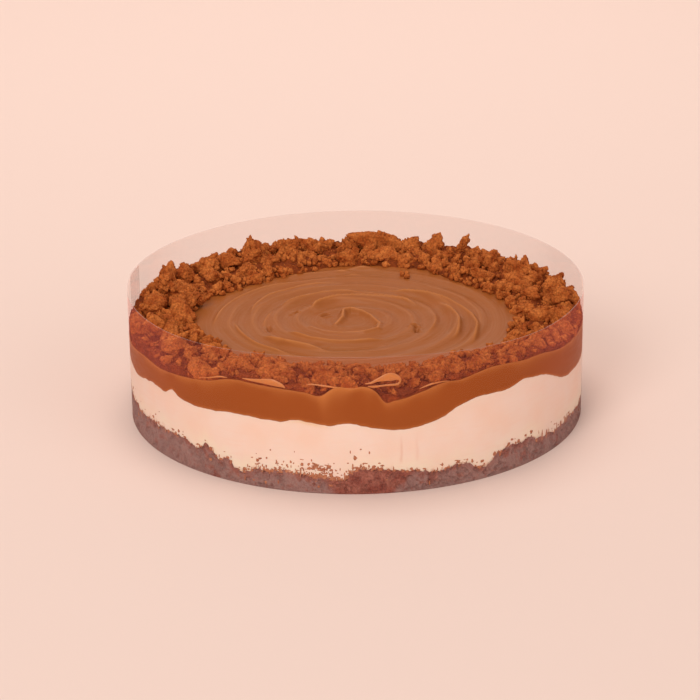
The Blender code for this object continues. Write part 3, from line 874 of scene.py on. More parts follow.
def film_material(colours):
    """Clear film: what is behind shows through, slightly toned, with Fresnel gloss on it, raised
    and tinted as a painted reflection of red surroundings.

    The gloss is weaker where cream and caramel wet the film, below the mesh value named line,
    and full again low down. Its painted reflection tint goes over from greyish pink low down to
    red higher up, and is peach on inner faces.
    """
    mat, tree, shader = new_material("Clear film", GLOSS_ROUGHNESS)
    clear = node(tree, "ShaderNodeBsdfTransparent")
    clear.inputs["Color"].default_value = opaque(colours.film_through)
    gloss = node(tree, "ShaderNodeBsdfGlossy")
    parted = node(tree, "ShaderNodeSeparateXYZ")
    wire(tree, object_place(tree), parted.inputs[0])
    height = parted.outputs["Z"]
    # Tint of the gloss: a painted reflection of red surroundings, greyish pink low down and red
    # higher up
    high = ranged(tree, height, *GLOSS_TONE)
    outside = blend_colours(tree, high, opaque(colours.film_low_painted_reflection), opaque(colours.film))
    painted_reflection_tint = blend_colours(tree, mesh_value(tree, "outer"), opaque(colours.film_inside_painted_reflection), outside)
    wire(tree, painted_reflection_tint, gloss.inputs["Color"])
    gloss.inputs["Roughness"].default_value = GLOSS_ROUGHNESS
    fresnel = node(tree, "ShaderNodeFresnel")
    fresnel.inputs["IOR"].default_value = 1.5
    facing = node(tree, "ShaderNodeNewGeometry")
    outer = combine(tree, "SUBTRACT", 1.0, facing.outputs["Backfacing"])
    shine = combine(tree, "MULTIPLY", fresnel.outputs["Fac"], GLOSS_STRENGTH)
    above = combine(tree, "SUBTRACT", height, mesh_value(tree, "line"))
    dry = ranged(tree, above, -1 * MM, 1 * MM, GLOSS_WET, 1.0)
    free = combine(tree, "MAXIMUM", dry, ranged(tree, height, GLOSS_LOW[1], GLOSS_LOW[0]))
    dulled = combine(tree, "MULTIPLY", combine(tree, "MINIMUM", shine, GLOSS_MOST), free)
    amount = combine(tree, "MULTIPLY", dulled, outer)
    mix = node(tree, "ShaderNodeMixShader")
    wire(tree, amount, mix.inputs[0])
    wire(tree, clear.outputs[0], mix.inputs[1])
    wire(tree, gloss.outputs[0], mix.inputs[2])
    wire(tree, mix.outputs[0], tree.nodes["Material Output"].inputs["Surface"])
    tree.nodes.remove(shader)
    return mat


def film_edge_material(colours):
    """The film's cut edge, which carries light and shows as a fine pale line."""
    mat, _, shader = new_material("Film edge", 0.3)
    shader.inputs["Base Color"].default_value = opaque(colours.film_edge)
    shader.inputs["Alpha"].default_value = 0.3
    return mat


def fold_material(colours):
    """A thin skin of caramel: paler than the body, palest along its rims."""
    mat, tree, shader = new_material("Caramel skin", 0.35)
    marks = place_group(tree, spread_group())
    wire(tree, object_place(tree), marks.inputs["Vector"])
    fine = ranged(tree, marks.outputs["Fine"], 0.35, 0.7)
    body = blend_colours(
        tree, fine, opaque(colours.caramel_skin), opaque(colours.caramel_pale_and_highlight)
    )
    rimmed = blend_colours(tree, mesh_value(tree, "rim"), body, opaque(colours.caramel_rim))
    wire(tree, rimmed, shader.inputs["Base Color"])
    return mat


def set_spread_map(mesh, u, v):
    """UV map named spread from one u and one v for each point."""
    layer = mesh.uv_layers.new(name="spread")
    index = np.empty(len(mesh.loops), np.int32)
    mesh.loops.foreach_get("vertex_index", index)
    spread = np.stack([u[index], v[index]], axis=-1)
    layer.data.foreach_set("uv", spread.ravel().astype(np.float32))


def polar(radius, bearing):
    """Plan point at a distance from the axis in the direction of a bearing."""
    angle = np.radians(bearing)
    return radius * np.sin(angle), -radius * np.cos(angle)


def full_turn(columns):
    """Bearings in even steps round the cake, and the film's inner radius at each."""
    bearing = np.arange(columns) * 360 / columns - 180
    return bearing, film_inner(bearing)


def ring_at(radius, bearing, z):
    """Ring of points at a radius and a height for each bearing."""
    x, y = polar(radius, bearing)
    return np.stack([x, y, np.broadcast_to(z, x.shape)], axis=-1)


def ring_on(top, radius, bearing):
    """Ring of points on a surface that is a function of the plan."""
    return ring_at(radius, bearing, top(*polar(radius, bearing)))


def height_at(top, x, y):
    """Height of a surface at one point of the plan."""
    return float(top(np.array([x]), np.array([y]))[0])


def build_biscuit_base(sizes, colours):
    """Pressed biscuit: rings go out over the top, down the pressed side and in underneath.

    The side is the film's radius less hollows of noise, so that only parts of it touch. A
    painted reflection, the film's greyish veil, is laid where it lies off the film: all but a
    wedge at the front, patchy and with flecks.
    """
    columns = 1440
    bearing, film = full_turn(columns)
    bare = np.zeros(columns)
    rings = [ring_on(crust_top, film * reach, bearing) for reach in (0.45, 0.8, 0.95, 0.985)]
    painted_reflection = [bare] * len(rings)
    edge = crust_top(*polar(FOOD_RADIUS, bearing))
    for t in np.linspace(0, 1, 26):
        z = edge * (1 - t) + FOOT_HEIGHT * t
        spot = ring_at(film, bearing, z)
        hollow = smooth((fractal(spot / (3.2 * MM), 3, 51) + 0.05) / 0.6)
        grain = granules(spot / (1.5 * MM), 57)
        depth = (0.9 * hollow + 0.25 * (1 - grain) * (0.3 + hollow)) * MM
        lip = smooth((0.97 - t) / 0.03)
        rings.append(ring_at(film + PRESS - depth * lip, bearing, z))
        left = smooth((WEDGE_LEFT - bearing - z / MM * WEDGE_LEFT_LEAN) / WEDGE_LEFT_SOFT)
        right = smooth((bearing - WEDGE_RIGHT - z / MM * WEDGE_RIGHT_LEAN) / WEDGE_RIGHT_SOFT)
        off_film = np.maximum(left, right)
        low = smooth((edge - z) / (5 * MM))
        patch = smooth((fractal(spot / (4.5 * MM), 3, 61) + 0.35 + 0.6 * low) / 0.6)
        fleck = smooth((fractal(spot / (1.3 * MM), 2, 63) - 0.35) / 0.4)
        # Mask of the painted reflection, the film's greyish veil where the biscuit is off the film
        painted_reflection.append(off_film * (0.15 + 0.7 * patch * (0.45 + 0.55 * low)) * (1 - 0.5 * fleck))
    for reach in (0.97, 0.5):
        rings.append(ring_at(film * reach, bearing, FOOT_HEIGHT))
        painted_reflection.append(bare)
    top = (0, 0, height_at(crust_top, 0.0, 0.0))
    mesh = ring_solid("biscuit_pressed", rings, top, (0, 0, FOOT_HEIGHT))
    add_value(mesh, "painted_reflection", np.concatenate([np.ravel(painted_reflection), [0, 0]]))
    mat = crumb_material(
        "Pressed biscuit",
        colours.biscuit_dark_and_gap_shade,
        colours.biscuit,
        colours.biscuit_light,
        colours.biscuit_painted_reflection,
    )
    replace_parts(place(mesh, mat), "biscuit_base")


def build_cream(sizes, colours):
    """Cream: rings out over the top, down the side between two edge curves, and in below.

    Its mesh values are stain, near the biscuit and in two upright creases, rich, a yellow
    smear under the caramel at the front left, and low, a blotchy tone over the biscuit.
    """
    bearing, film = full_turn(1440)
    high = cream_top(*polar(FOOD_RADIUS, bearing))
    low = crust_top(*polar(FOOD_RADIUS, bearing))
    rings = [ring_on(cream_top, film * reach, bearing) for reach in (0.4, 0.75, 0.96)]
    for t in np.linspace(0, 1, 30):
        rings.append(ring_at(film + 0.8 * PRESS, bearing, high * (1 - t) + low * t))
    rings += [ring_on(crust_top, film * reach, bearing) for reach in (0.96, 0.5)]
    top = (0, 0, height_at(cream_top, 0.0, 0.0))
    mesh = ring_solid("cream_filling", rings, top, (0, 0, height_at(crust_top, 0.0, 0.0)))
    x, y, z = points_of(mesh)
    turn = bearing_of(x, y)
    above = z - crust_top(x, y)
    spot = np.stack([x, y, z], axis=-1)
    mottle = smooth((fractal(spot / (2.4 * MM), 3, 75) - 0.1) / 0.8)
    stain = smooth(1 - above / (3.5 * MM)) * mottle
    waver = soft_noise(spot / (4 * MM), 76)
    height = smooth((z - 14 * MM) / (3 * MM)) * smooth((31 * MM - z) / (9 * MM))
    crease = np.zeros(len(x))
    for middle, half_width, strength in CREASES:
        line = np.exp(-(((turn - middle) / half_width + waver) ** 2))
        crease = crease + strength * line * height
    add_value(mesh, "stain", np.maximum(0.6 * stain, crease))
    under = (cream_top(x, y) - z) / MM
    rich = np.exp(-((turn - SMEAR[0]) / SMEAR[1]) ** 2) * np.exp(-((under - 0.4) / 1.0) ** 2)
    add_value(mesh, "rich", 0.9 * rich)
    blotch = 0.5 + 0.5 * fractal(spot / (11 * MM), 2, 77)
    add_value(mesh, "low", smooth(1 - above / (11 * MM)) * blotch.clip(0, 1))
    lean = turn / 9 + z / (9 * MM)
    set_spread_map(mesh, lean, z / (1.9 * MM) - turn / 14)
    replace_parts(place(mesh, cream_material(colours)), "cream_layer")


def build_caramel(sizes, colours):
    """Caramel: rings about the swirl's centre that move to the axis as they grow, then the side.

    The top follows the swirl's relief, and the side runs down to the cream's edge. The mesh
    values are a crest mask for thin lines along the swirl's crests, which are painted paler as a
    painted highlight, thin for the pale bands along both edges at the film, which are wider
    where the edge is pale, and side for all that isn't the top.
    """
    columns = 576
    bearing, film = full_turn(columns)
    bare = np.zeros(columns)
    rings = []
    thin = []
    side = []
    centred = 84
    inner = np.linspace(0, 1, 141)[1:] ** 0.96 * centred * MM
    outer = np.linspace(88 * MM, 112 * MM, 5)
    pale_middle = sum(PALE_EDGE) / 2
    pale = smooth((PALE_EDGE[1] - pale_middle - np.abs(bearing - pale_middle)) / 2.5 + 0.5)
    for reach in np.concatenate([inner, outer]):
        shift = 1 - smooth(reach / (centred * MM))
        x, y = polar(reach, bearing)
        x = x + SWIRL_CENTRE[0] * shift
        y = y + SWIRL_CENTRE[1] * shift
        rings.append(np.stack([x, y, caramel_top(x, y)], axis=-1))
        thin.append(bare)
        side.append(bare)
    high = around(CARAMEL_EDGE, bearing)
    low = cream_top(*polar(FOOD_RADIUS, bearing)) - 0.12 * MM
    for t in np.linspace(0, 1, 18) ** 1.2:
        z = high * (1 - t) + low * t
        spot = ring_at(film + PRESS, bearing, z)
        rings.append(spot)
        waver = (1 + 0.8 * soft_noise(spot / (9 * MM), 81)).clip(0.3)
        band = (1.7 + 2.6 * pale) * MM * waver
        upper = (0.6 + 0.4 * pale) * np.exp(-((high - z) / band) ** 1.3)
        lower = 0.9 * waver.clip(0, 1) * np.exp(-(z - low) / (0.5 * MM))
        thin.append(upper + lower)
        side.append(np.ones(columns))
    for reach in (0.96, 0.5):
        rings.append(ring_on(cream_top, film * reach, bearing))
        thin.append(bare)
        side.append(np.ones(columns))
    top = (*SWIRL_CENTRE, height_at(caramel_top, *SWIRL_CENTRE))
    mesh = ring_solid("caramel_swirl", rings, top, (0, 0, height_at(cream_top, 0.0, 0.0)))
    x, y, z = points_of(mesh)
    # Mask of the crests, where a painted highlight goes
    add_value(mesh, "crest_highlight", np.clip(swirl(x, y)[1], 0, 1) * (z > 42 * MM))
    add_value(mesh, "thin", np.concatenate([np.ravel(thin), [0, 0]]))
    add_value(mesh, "side", np.concatenate([np.ravel(side), [0, 0]]))
    dx = x - SWIRL_CENTRE[0]
    dy = y - SWIRL_CENTRE[1]
    on_side = np.hypot(x, y) > 112.5 * MM
    along = np.where(on_side, bearing_of(x, y) / 4, np.abs(np.degrees(np.arctan2(dy, dx))) / 60)
    cross = np.where(on_side, z / (1.5 * MM), np.hypot(dx, dy) / (1.3 * MM))
    set_spread_map(mesh, along, cross)
    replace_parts(place(mesh, caramel_material(colours)), "caramel_layer")


def fold_points(fold, along, around_it):
    """A flattened tube of skin: its middle line, widened along its own normal at the film.

    The middle line is a cubic through the fold's stations. At each step a closed loop has its
    half width across the line and half of FOLD_DEPTH inwards from the film.
    """
    stations = np.array(fold, float)
    index = np.arange(len(stations))
    u = np.linspace(0, len(stations) - 1, along)
    i = np.clip(u.astype(int), 0, len(stations) - 2)
    t = (u - i)[:, None]
    slopes = np.gradient(stations, index, axis=0)
    line = (
        (1 + 2 * t) * (1 - t) ** 2 * stations[i]
        + t * (1 - t) ** 2 * slopes[i]
        + t * t * (3 - 2 * t) * stations[i + 1]
        - t * t * (1 - t) * slopes[i + 1]
    )
    across_mm = math.radians(1) * FOOD_RADIUS / MM
    flat = np.stack([line[:, 0] * across_mm, line[:, 1]], axis=-1)
    way = np.gradient(flat, axis=0)
    way /= np.linalg.norm(way, axis=-1, keepdims=True)
    phase = 2 * np.pi * np.arange(around_it) / around_it
    half = line[:, 2:3] * np.cos(phase)
    s = flat[:, :1] - way[:, 1:] * half
    z = flat[:, 1:] + way[:, :1] * half
    bearing = s / across_mm
    depth = FOLD_DEPTH / 2 * (1 - np.sin(phase)) * np.minimum(1, line[:, 2:3] / 0.35)
    x, y = polar(film_inner(bearing) + PRESS - depth, bearing)
    rim = np.broadcast_to(np.abs(np.cos(phase)) ** 5, s.shape)
    return np.stack([x, y, z * MM], axis=-1), rim


def build_folds(sizes, colours):
    """The folds of caramel skin that show through the film, as one mesh of closed tubes."""
    along = 64
    around_it = 16
    points = []
    rims = []
    quads = []
    fans = []
    step = along * around_it + 2
    for number, fold in enumerate(FOLDS):
        grid, rim = fold_points(fold, along, around_it)
        ends = np.stack([grid[0].mean(axis=0), grid[-1].mean(axis=0)])
        points.append(np.concatenate([grid.reshape(-1, 3), ends]))
        rims.append(np.concatenate([rim.ravel(), [1, 1]]))
        quads.append(number * step + ring_faces(along, around_it))
        fans.append(number * step + pole_faces(along, around_it))
    mesh = make_mesh(
        "caramel_folds", np.concatenate(points), np.concatenate(quads), np.concatenate(fans)
    )
    add_value(mesh, "rim", np.concatenate(rims))
    place(mesh, fold_material(colours))


def build_specks(sizes, colours):
    """Biscuit crumbs caught between cream and film, thickest just over the biscuit.

    Each is a pebble pressed flat against the film, 0.6 + 2.3 u^1.8 mm wide for a random u.
    """
    draw = np.random.RandomState(17)
    count = sizes.specks
    bearing = draw.uniform(-180, 180, count)
    above = draw.exponential(SPECK_REACH, count)
    front = draw.uniform(0, 1, count) < SPECK_FRONT_SHARE
    bearing[front] = draw.uniform(*SPECK_FRONT, front.sum())
    above[front] = draw.exponential(SPECK_FRONT_REACH, front.sum())
    heap = draw.uniform(0, 1, count) < SPECK_HEAP_SHARE
    bearing[heap] = draw.normal(*SPECK_HEAP, heap.sum())
    above[heap] = draw.normal(*SPECK_HEAP_HEIGHT, heap.sum())
    close = draw.uniform(0, 1, count) < SPECK_CLOSE_SHARE
    above[close] = draw.uniform(*SPECK_CLOSE, close.sum())
    fallen = draw.uniform(0, 1, count) < SPECK_FALLEN_SHARE
    above[fallen] = draw.uniform(*SPECK_FALLEN, fallen.sum())
    size = (0.6 + 2.3 * draw.uniform(0, 1, (count, 3)) ** 1.8) * MM * SPECK_SHAPE
    tall = (np.abs(bearing - SPECK_TALL) < SPECK_TALL_HALF_WIDTH) & (above < 2 * MM)
    size[tall] *= SPECK_TALL_SHAPE
    edge = crust_top(*polar(FOOD_RADIUS, bearing))
    z = np.maximum(edge + np.minimum(above, SPECK_MOST) - 0.3 * MM, SPECK_LEAST)
    centres = ring_at(film_inner(bearing) + 0.02 * MM, bearing, z)
    angles = np.zeros((count, 3))
    angles[:, 2] = np.radians(bearing)
    points, quads, fans = pebbles(centres, size, angles, 4, 7, 19, 0.3)
    limit = film_inner(bearing_of(points[..., 0], points[..., 1])) + 0.15 * MM
    squeeze = np.minimum(1, limit / np.hypot(points[..., 0], points[..., 1]))
    points[..., :2] *= squeeze[..., None]
    mat = crumb_material("Loose biscuit", colours.speck_dark_and_gap_shade, colours.speck, colours.speck_light)
    place(make_mesh("biscuit_specks", points.reshape(-1, 3), quads, fans), mat)


def build_collar(sizes, colours):
    """Film: a four-cornered section carried round a slow spiral, closed at its two ends.

    Its mesh values are outer for the outside faces and line for the caramel's upper edge.
    """
    columns = 736
    turned = np.linspace(0, 360 + COLLAR_LAP, columns)
    bearing = COLLAR_JOIN_BEARING - COLLAR_LAP / 2 + turned
    inside = film_radius(turned)
    outside = inside + sizes.film_thickness
    off_front = np.abs((bearing + 180) % 360 - 180)
    rise = COLLAR_FRONT_RISE * smooth(1 - off_front / COLLAR_RISE_HALF_WIDTH)
    height = COLLAR_TOP - COLLAR_FRONT_RISE + rise
    foot = FOOT_HEIGHT
    section = [(outside, foot), (outside, height), (inside, height), (inside, foot)]
    strip = [ring_at(radius, bearing, z) for radius, z in section]
    points = np.stack(strip, axis=1).reshape(-1, 3)
    i, c = np.meshgrid(np.arange(columns - 1), np.arange(4), indexing="ij")
    d = (c + 1) % 4
    quads = np.stack([i * 4 + c, (i + 1) * 4 + c, (i + 1) * 4 + d, i * 4 + d], axis=-1)
    last = (columns - 1) * 4
    ends = np.array([[0, 1, 2, 3], [last + 3, last + 2, last + 1, last]])
    mesh = make_mesh("collar_film", points, np.concatenate([quads.reshape(-1, 4), ends]))
    obj = place(mesh, film_material(colours))
    mesh.materials.append(film_edge_material(colours))
    wrapped = (bearing + 180) % 360 - 180
    add_value(mesh, "line", np.repeat(around(CARAMEL_EDGE, wrapped), 4))
    cut_edge = np.concatenate([(c % 2).ravel(), [1, 1]])
    mesh.polygons.foreach_set("material_index", cut_edge.astype(np.int32))
    outer = mesh.attributes.new("outer", "FLOAT", "FACE")
    outer.data.foreach_set("value", np.concatenate([(c == 0).ravel(), [0, 0]]).astype(np.float32))
    mesh.set_sharp_from_angle(angle=math.radians(40))
    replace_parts(obj, "clear_collar")


def lump_sites():
    """Every large lump: bearing, distance from the axis, top height, width, depth, height."""
    draw = np.random.RandomState(LUMP_SEED)
    sites = [(b, r * MM, t * MM, w * MM, d * MM, h * MM) for b, r, t, w, d, h in LANDMARKS]
    for count, least, most in LUMP_KINDS:
        for i in range(count):
            bearing = 360 * (i + draw.uniform(0.1, 0.9)) / count - 180
            lane = LUMP_LANES[i % len(LUMP_LANES)]
            distance = lane + draw.uniform(-LANE_SPREAD, LANE_SPREAD)
            width, depth, height = draw.uniform(least, most, 3) * LUMP_SHAPE * LUMP_SHRINK
            inner = float(around(RING_TOE, np.array([bearing]))[0])
            distance = max(distance, inner + width / 3)
            x, y = polar(np.array([distance]), np.array([bearing]))
            ground = float(bed_top(x, y)[0])
            top = ground + height * draw.uniform(*LUMP_SHOWS)
            top = min(top, float(lump_limit(x, y)[0]) - LUMP_DROP * draw.uniform(0, 1))
            top = max(top, ground + LUMP_LEAST * height)
            sites.append((bearing, distance, top, width, depth, height))
    return np.array(sites)


def ball_grid(rings, columns):
    """Directions over a ball: rings between two poles, each ring turned half a step; and faces."""
    lat = np.pi * (np.arange(rings) + 1) / (rings + 1)
    lon = 2 * np.pi * (np.arange(columns) + 0.5 * (np.arange(rings)[:, None] % 2)) / columns
    lat = np.broadcast_to(lat[:, None], lon.shape)
    points = np.stack([np.sin(lat) * np.cos(lon), np.sin(lat) * np.sin(lon), np.cos(lat)], axis=-1)
    points = np.concatenate([points.reshape(-1, 3), [[0, 0, 1], [0, 0, -1]]])
    return points, ring_faces(rings, columns), pole_faces(rings, columns)


def turning(angles):
    """Rotation matrices from rows of three Euler angles, about X, then Y, then Z."""
    cx, cy, cz = np.cos(angles).T
    sx, sy, sz = np.sin(angles).T
    rows = [
        [cy * cz, sx * sy * cz - cx * sz, cx * sy * cz + sx * sz],
        [cy * sz, sx * sy * sz + cx * cz, cx * sy * sz - sx * cz],
        [-sy, sx * cy, cx * cy],
    ]
    return np.moveaxis(np.array(rows), -1, 0)


def pebbles(centres, spans, angles, rings, columns, seed, craggy=0.16, grain=0.0):
    """Broken lumps: each is a ball cut by planes, roughened, stretched and turned.

    The planes' directions n follow a golden-angle spiral. The reach in a direction d is
    (sum over planes of max(0, d.n / h)^p)^(-1/p), times one plus craggy times noise. Grains
    of about a millimetre then push the surface in and out by grain.
    """
    draw = np.random.RandomState(seed)
    count = len(centres)
    ball, quads, fans = ball_grid(rings, columns)
    planes = PEBBLE_PLANES
    spiral = np.arange(planes) * np.pi * (3 - math.sqrt(5))
    level = 1 - 2 * (np.arange(planes) + 0.5) / planes
    flat = np.sqrt(1 - level**2)
    normals = np.stack([flat * np.cos(spiral), flat * np.sin(spiral), level], axis=-1)
    normals = normals + draw.uniform(-PEBBLE_TILT, PEBBLE_TILT, (count, planes, 3))
    normals /= np.linalg.norm(normals, axis=-1, keepdims=True)
    heights = draw.uniform(*PEBBLE_PLANE_REACH, (count, 1, planes))
    facing = np.einsum("vc,npc->nvp", ball, normals) / heights
    summed = (np.clip(facing, 0, None) ** PEBBLE_SHARPNESS).sum(-1)
    reach = summed ** (-1 / PEBBLE_SHARPNESS)
    offset = draw.uniform(0, 90, (count, 1, 3))
    reach = reach * (1 + craggy * fractal(ball[None] * 1.9 + offset, 3, seed))
    local = ball[None] * reach[..., None] * spans[:, None, :] / 2
    turn = turning(angles)
    points = np.einsum("nij,nvj->nvi", turn, local) + centres[:, None, :]
    if grain:
        outward = np.einsum("nij,vj->nvi", turn, ball)
        rough = granules(points / (1.25 * MM), seed + 5) - 0.62
        rough = rough + 0.45 * soft_noise(points / (0.62 * MM), seed + 9)
        points = points + outward * rough[..., None] * grain
    step = len(ball)
    start = (np.arange(count) * step)[:, None, None]
    return points, (start + quads).reshape(-1, 4), (start + fans).reshape(-1, 3)


def keep_inside(points):
    """Presses crumbs back from the film, and lets them down into the caramel only a little."""
    x, y, z = np.moveaxis(points, -1, 0)
    limit = film_inner(bearing_of(x, y)) - 0.03 * MM
    squeeze = np.minimum(1, limit / np.hypot(x, y))
    x = x * squeeze
    y = y * squeeze
    floor = caramel_body(x, y) - 0.4 * MM
    return np.stack([x, y, np.maximum(z, floor)], axis=-1)


def scatter(draw, count, least, most, inwards=0.0):
    """Random plan spots in the ring: bearings in even steps with jitter, even over its area."""
    bearing = 360 * (np.arange(count) + draw.uniform(0, 1, count)) / count - 180
    inner = around(RING_TOE, bearing) - inwards
    distance = np.sqrt(inner**2 + (FOOD_RADIUS**2 - inner**2) * draw.uniform(0, 0.98, count))
    return bearing, distance, draw.uniform(least, most, (count, 3)) * CRUMB_SHAPE


def build_crumb_bed(sizes, colours):
    """Bed under the lumps: rings out from the toe, down at the film and back underneath."""
    columns = 720
    bearing, film = full_turn(columns)
    toe = around(RING_TOE, bearing)
    toe = toe + 1.6 * MM * flat_noise(*polar(75 * MM, bearing), 7 * MM, 3, 43)
    sunk = 0.5 * MM
    rings = []
    for t in np.linspace(0, 1, 52):
        radius = toe * (1 - t) + (film - 0.05 * MM) * t
        spot = ring_on(bed_top, radius, bearing)
        rough = 0.9 * fractal(spot / (3.4 * MM), 3, 91) + 1.3 * granules(spot / (2.9 * MM), 97)
        rough = rough + 0.7 * granules(spot / (1.4 * MM), 93) - 1.3
        rings.append(ring_at(radius, bearing, spot[:, 2] + rough * MM * smooth(t / 0.05)))
    high = rings[-1][:, 2]
    low = caramel_body(*polar(film, bearing)) - sunk
    for t in (0.2, 0.4, 0.6, 0.8, 1.0):
        z = high * (1 - t) + low * t
        spot = ring_at(film, bearing, z)
        hollow = 1.6 * smooth(fractal(spot / (3.0 * MM), 2, 95) + 0.4)
        hollow = hollow + 0.7 * (1 - granules(spot / (1.6 * MM), 99))
        rings.append(ring_at(film - (0.05 + hollow * (1 - t)) * MM, bearing, z))
    for radius in (film * 0.85, toe):
        z = caramel_body(*polar(radius, bearing)) - sunk
        rings.append(ring_at(radius, bearing, z))
    # The last ring joins the first again, so the faces' numbers wrap round
    rows = len(rings)
    faces = ring_faces(rows + 1, columns) % (rows * columns)
    mesh = make_mesh("crumb_bed", np.reshape(rings, (-1, 3)), faces)
    # The bed is coloured darker than the lumps, as painted shade in the crevices between them
    mat = crumb_material("Crumb bed", colours.crumb_dark_and_gap_shade, colours.crumb_bed_painted_shade, colours.crumb_shade)
    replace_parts(place(mesh, mat), "crumb_ring")


def add_crumbs(name, mat, centres, spans, angles, *form):
    """One mesh of pebbles, kept inside the film. Returns its points.

    The form is what pebbles takes last: rings, columns, seed, craggy and grain.
    """
    points, quads, fans = pebbles(centres, spans, angles, *form)
    points = keep_inside(points).reshape(-1, 3)
    place(make_mesh(name, points, quads, fans), mat)
    return points


def lift(draw, centres, perches, share):
    """Moves a random share of the centres to random points of larger lumps."""
    raised = draw.uniform(0, 1, len(centres)) < share
    centres[raised] = perches[draw.randint(0, len(perches), raised.sum())]


def build_crumbs(sizes, colours):
    """Lumps of cookie, flakes, smaller lumps and loose grains, all from the pebble formula.

    The smaller ones lie on the bed, and a share of them on the larger ones.
    """
    mat = crumb_material("Cookie crumb", colours.crumb_dark_and_gap_shade, colours.crumb, colours.crumb_light)
    draw = np.random.RandomState(5)
    sites = lump_sites()
    marked = len(LANDMARKS)
    ordinary = marked + LUMP_KINDS[0][0]
    groups = (
        ("landmarks", sites[:marked], 40, 60),
        ("large", sites[marked:ordinary], 32, 48),
        ("lesser", sites[ordinary:], 22, 34),
    )
    perches = []
    for number, (name, group, rings, columns) in enumerate(groups):
        bearing, distance, top, width, depth, height = group.T
        centres = ring_at(distance, bearing, top - height / 2)
        angles = draw.uniform(-0.6, 0.6, (len(group), 3))
        angles[:, 2] = np.radians(bearing) + draw.uniform(-0.9, 0.9, len(group))
        spans = np.stack([width, depth, height], axis=-1)
        form = (rings, columns, 101 + 10 * number, 0.18, 0.6 * MM)
        perches.append(add_crumbs("crumb_lumps_" + name, mat, centres, spans, angles, *form))

    flakes = np.array(FLAKES)
    middles = (flakes[:, 2] - flakes[:, 5] / 2) * MM
    centres = ring_at(flakes[:, 1] * MM, flakes[:, 0], middles)
    spans = flakes[:, 3:6] * MM
    angles = np.radians(flakes[:, 6:9])
    form = (36, 60, 143, 0.16, 0.45 * MM)
    perches.append(add_crumbs("crumb_flakes", mat, centres, spans, angles, *form))

    bearing, distance, spans = scatter(draw, sizes.medium_lumps, 4 * MM, 8 * MM)
    x, y = polar(distance, bearing)
    ground = bed_top(x, y) + draw.uniform(-0.1, 0.4, len(x)) * spans[:, 2]
    ground = np.minimum(ground, lump_limit(x, y) - 0.5 * spans[:, 2])
    angles = draw.uniform(-3, 3, spans.shape)
    centres = np.stack([x, y, ground], axis=-1)
    form = (15, 24, 151, 0.2, 0.5 * MM)
    perches.append(add_crumbs("crumb_lumps_medium", mat, centres, spans, angles, *form))

    perches = np.concatenate(perches)
    perches = perches[perches[:, 2] > bed_top(perches[:, 0], perches[:, 1]) + 0.5 * MM]
    bearing, distance, spans = scatter(draw, sizes.small_lumps, 1.8 * MM, 4.2 * MM, 2.5 * MM)
    hugging = draw.uniform(0, 1, len(bearing)) < HUGGING_SHARE
    into = draw.uniform(*HUGGING_REACH, hugging.sum())
    distance[hugging] = around(RING_TOE, bearing[hugging]) + into
    centres = ring_on(bed_top, distance, bearing)
    centres[:, 2] += 0.35 * spans[:, 2]
    lift(draw, centres, perches, SMALL_ON_LUMPS)
    angles = draw.uniform(-3, 3, spans.shape)
    stray = np.array(STRAYS)
    first = slice(0, len(stray))
    spans[first] = stray[:, 2:] * MM * CRUMB_SHAPE
    centres[first] = ring_on(caramel_top, stray[:, 1] * MM, stray[:, 0])
    centres[first, 2] += 0.3 * spans[first, 2]
    form = (6, 9, 107, 0.25, 0.3 * MM)
    add_crumbs("crumb_lumps_small", mat, centres, spans, angles, *form)

    bearing, distance, spans = scatter(draw, sizes.grains, 0.6 * MM, 1.7 * MM, 1.5 * MM)
    centres = ring_on(bed_top, distance, bearing)
    centres[:, 2] += 0.5 * MM
    lift(draw, centres, perches, GRAINS_ON_LUMPS)
    angles = draw.uniform(-3, 3, spans.shape)
    add_crumbs("crumb_grains", mat, centres, spans, angles, 2, 5, 109, 0.2)


def plain_material(name, colour, roughness):
    """Material of one colour."""
    mat, _, shader = new_material(name, roughness, 0.2)
    shader.inputs["Base Color"].default_value = opaque(colour)
    return mat


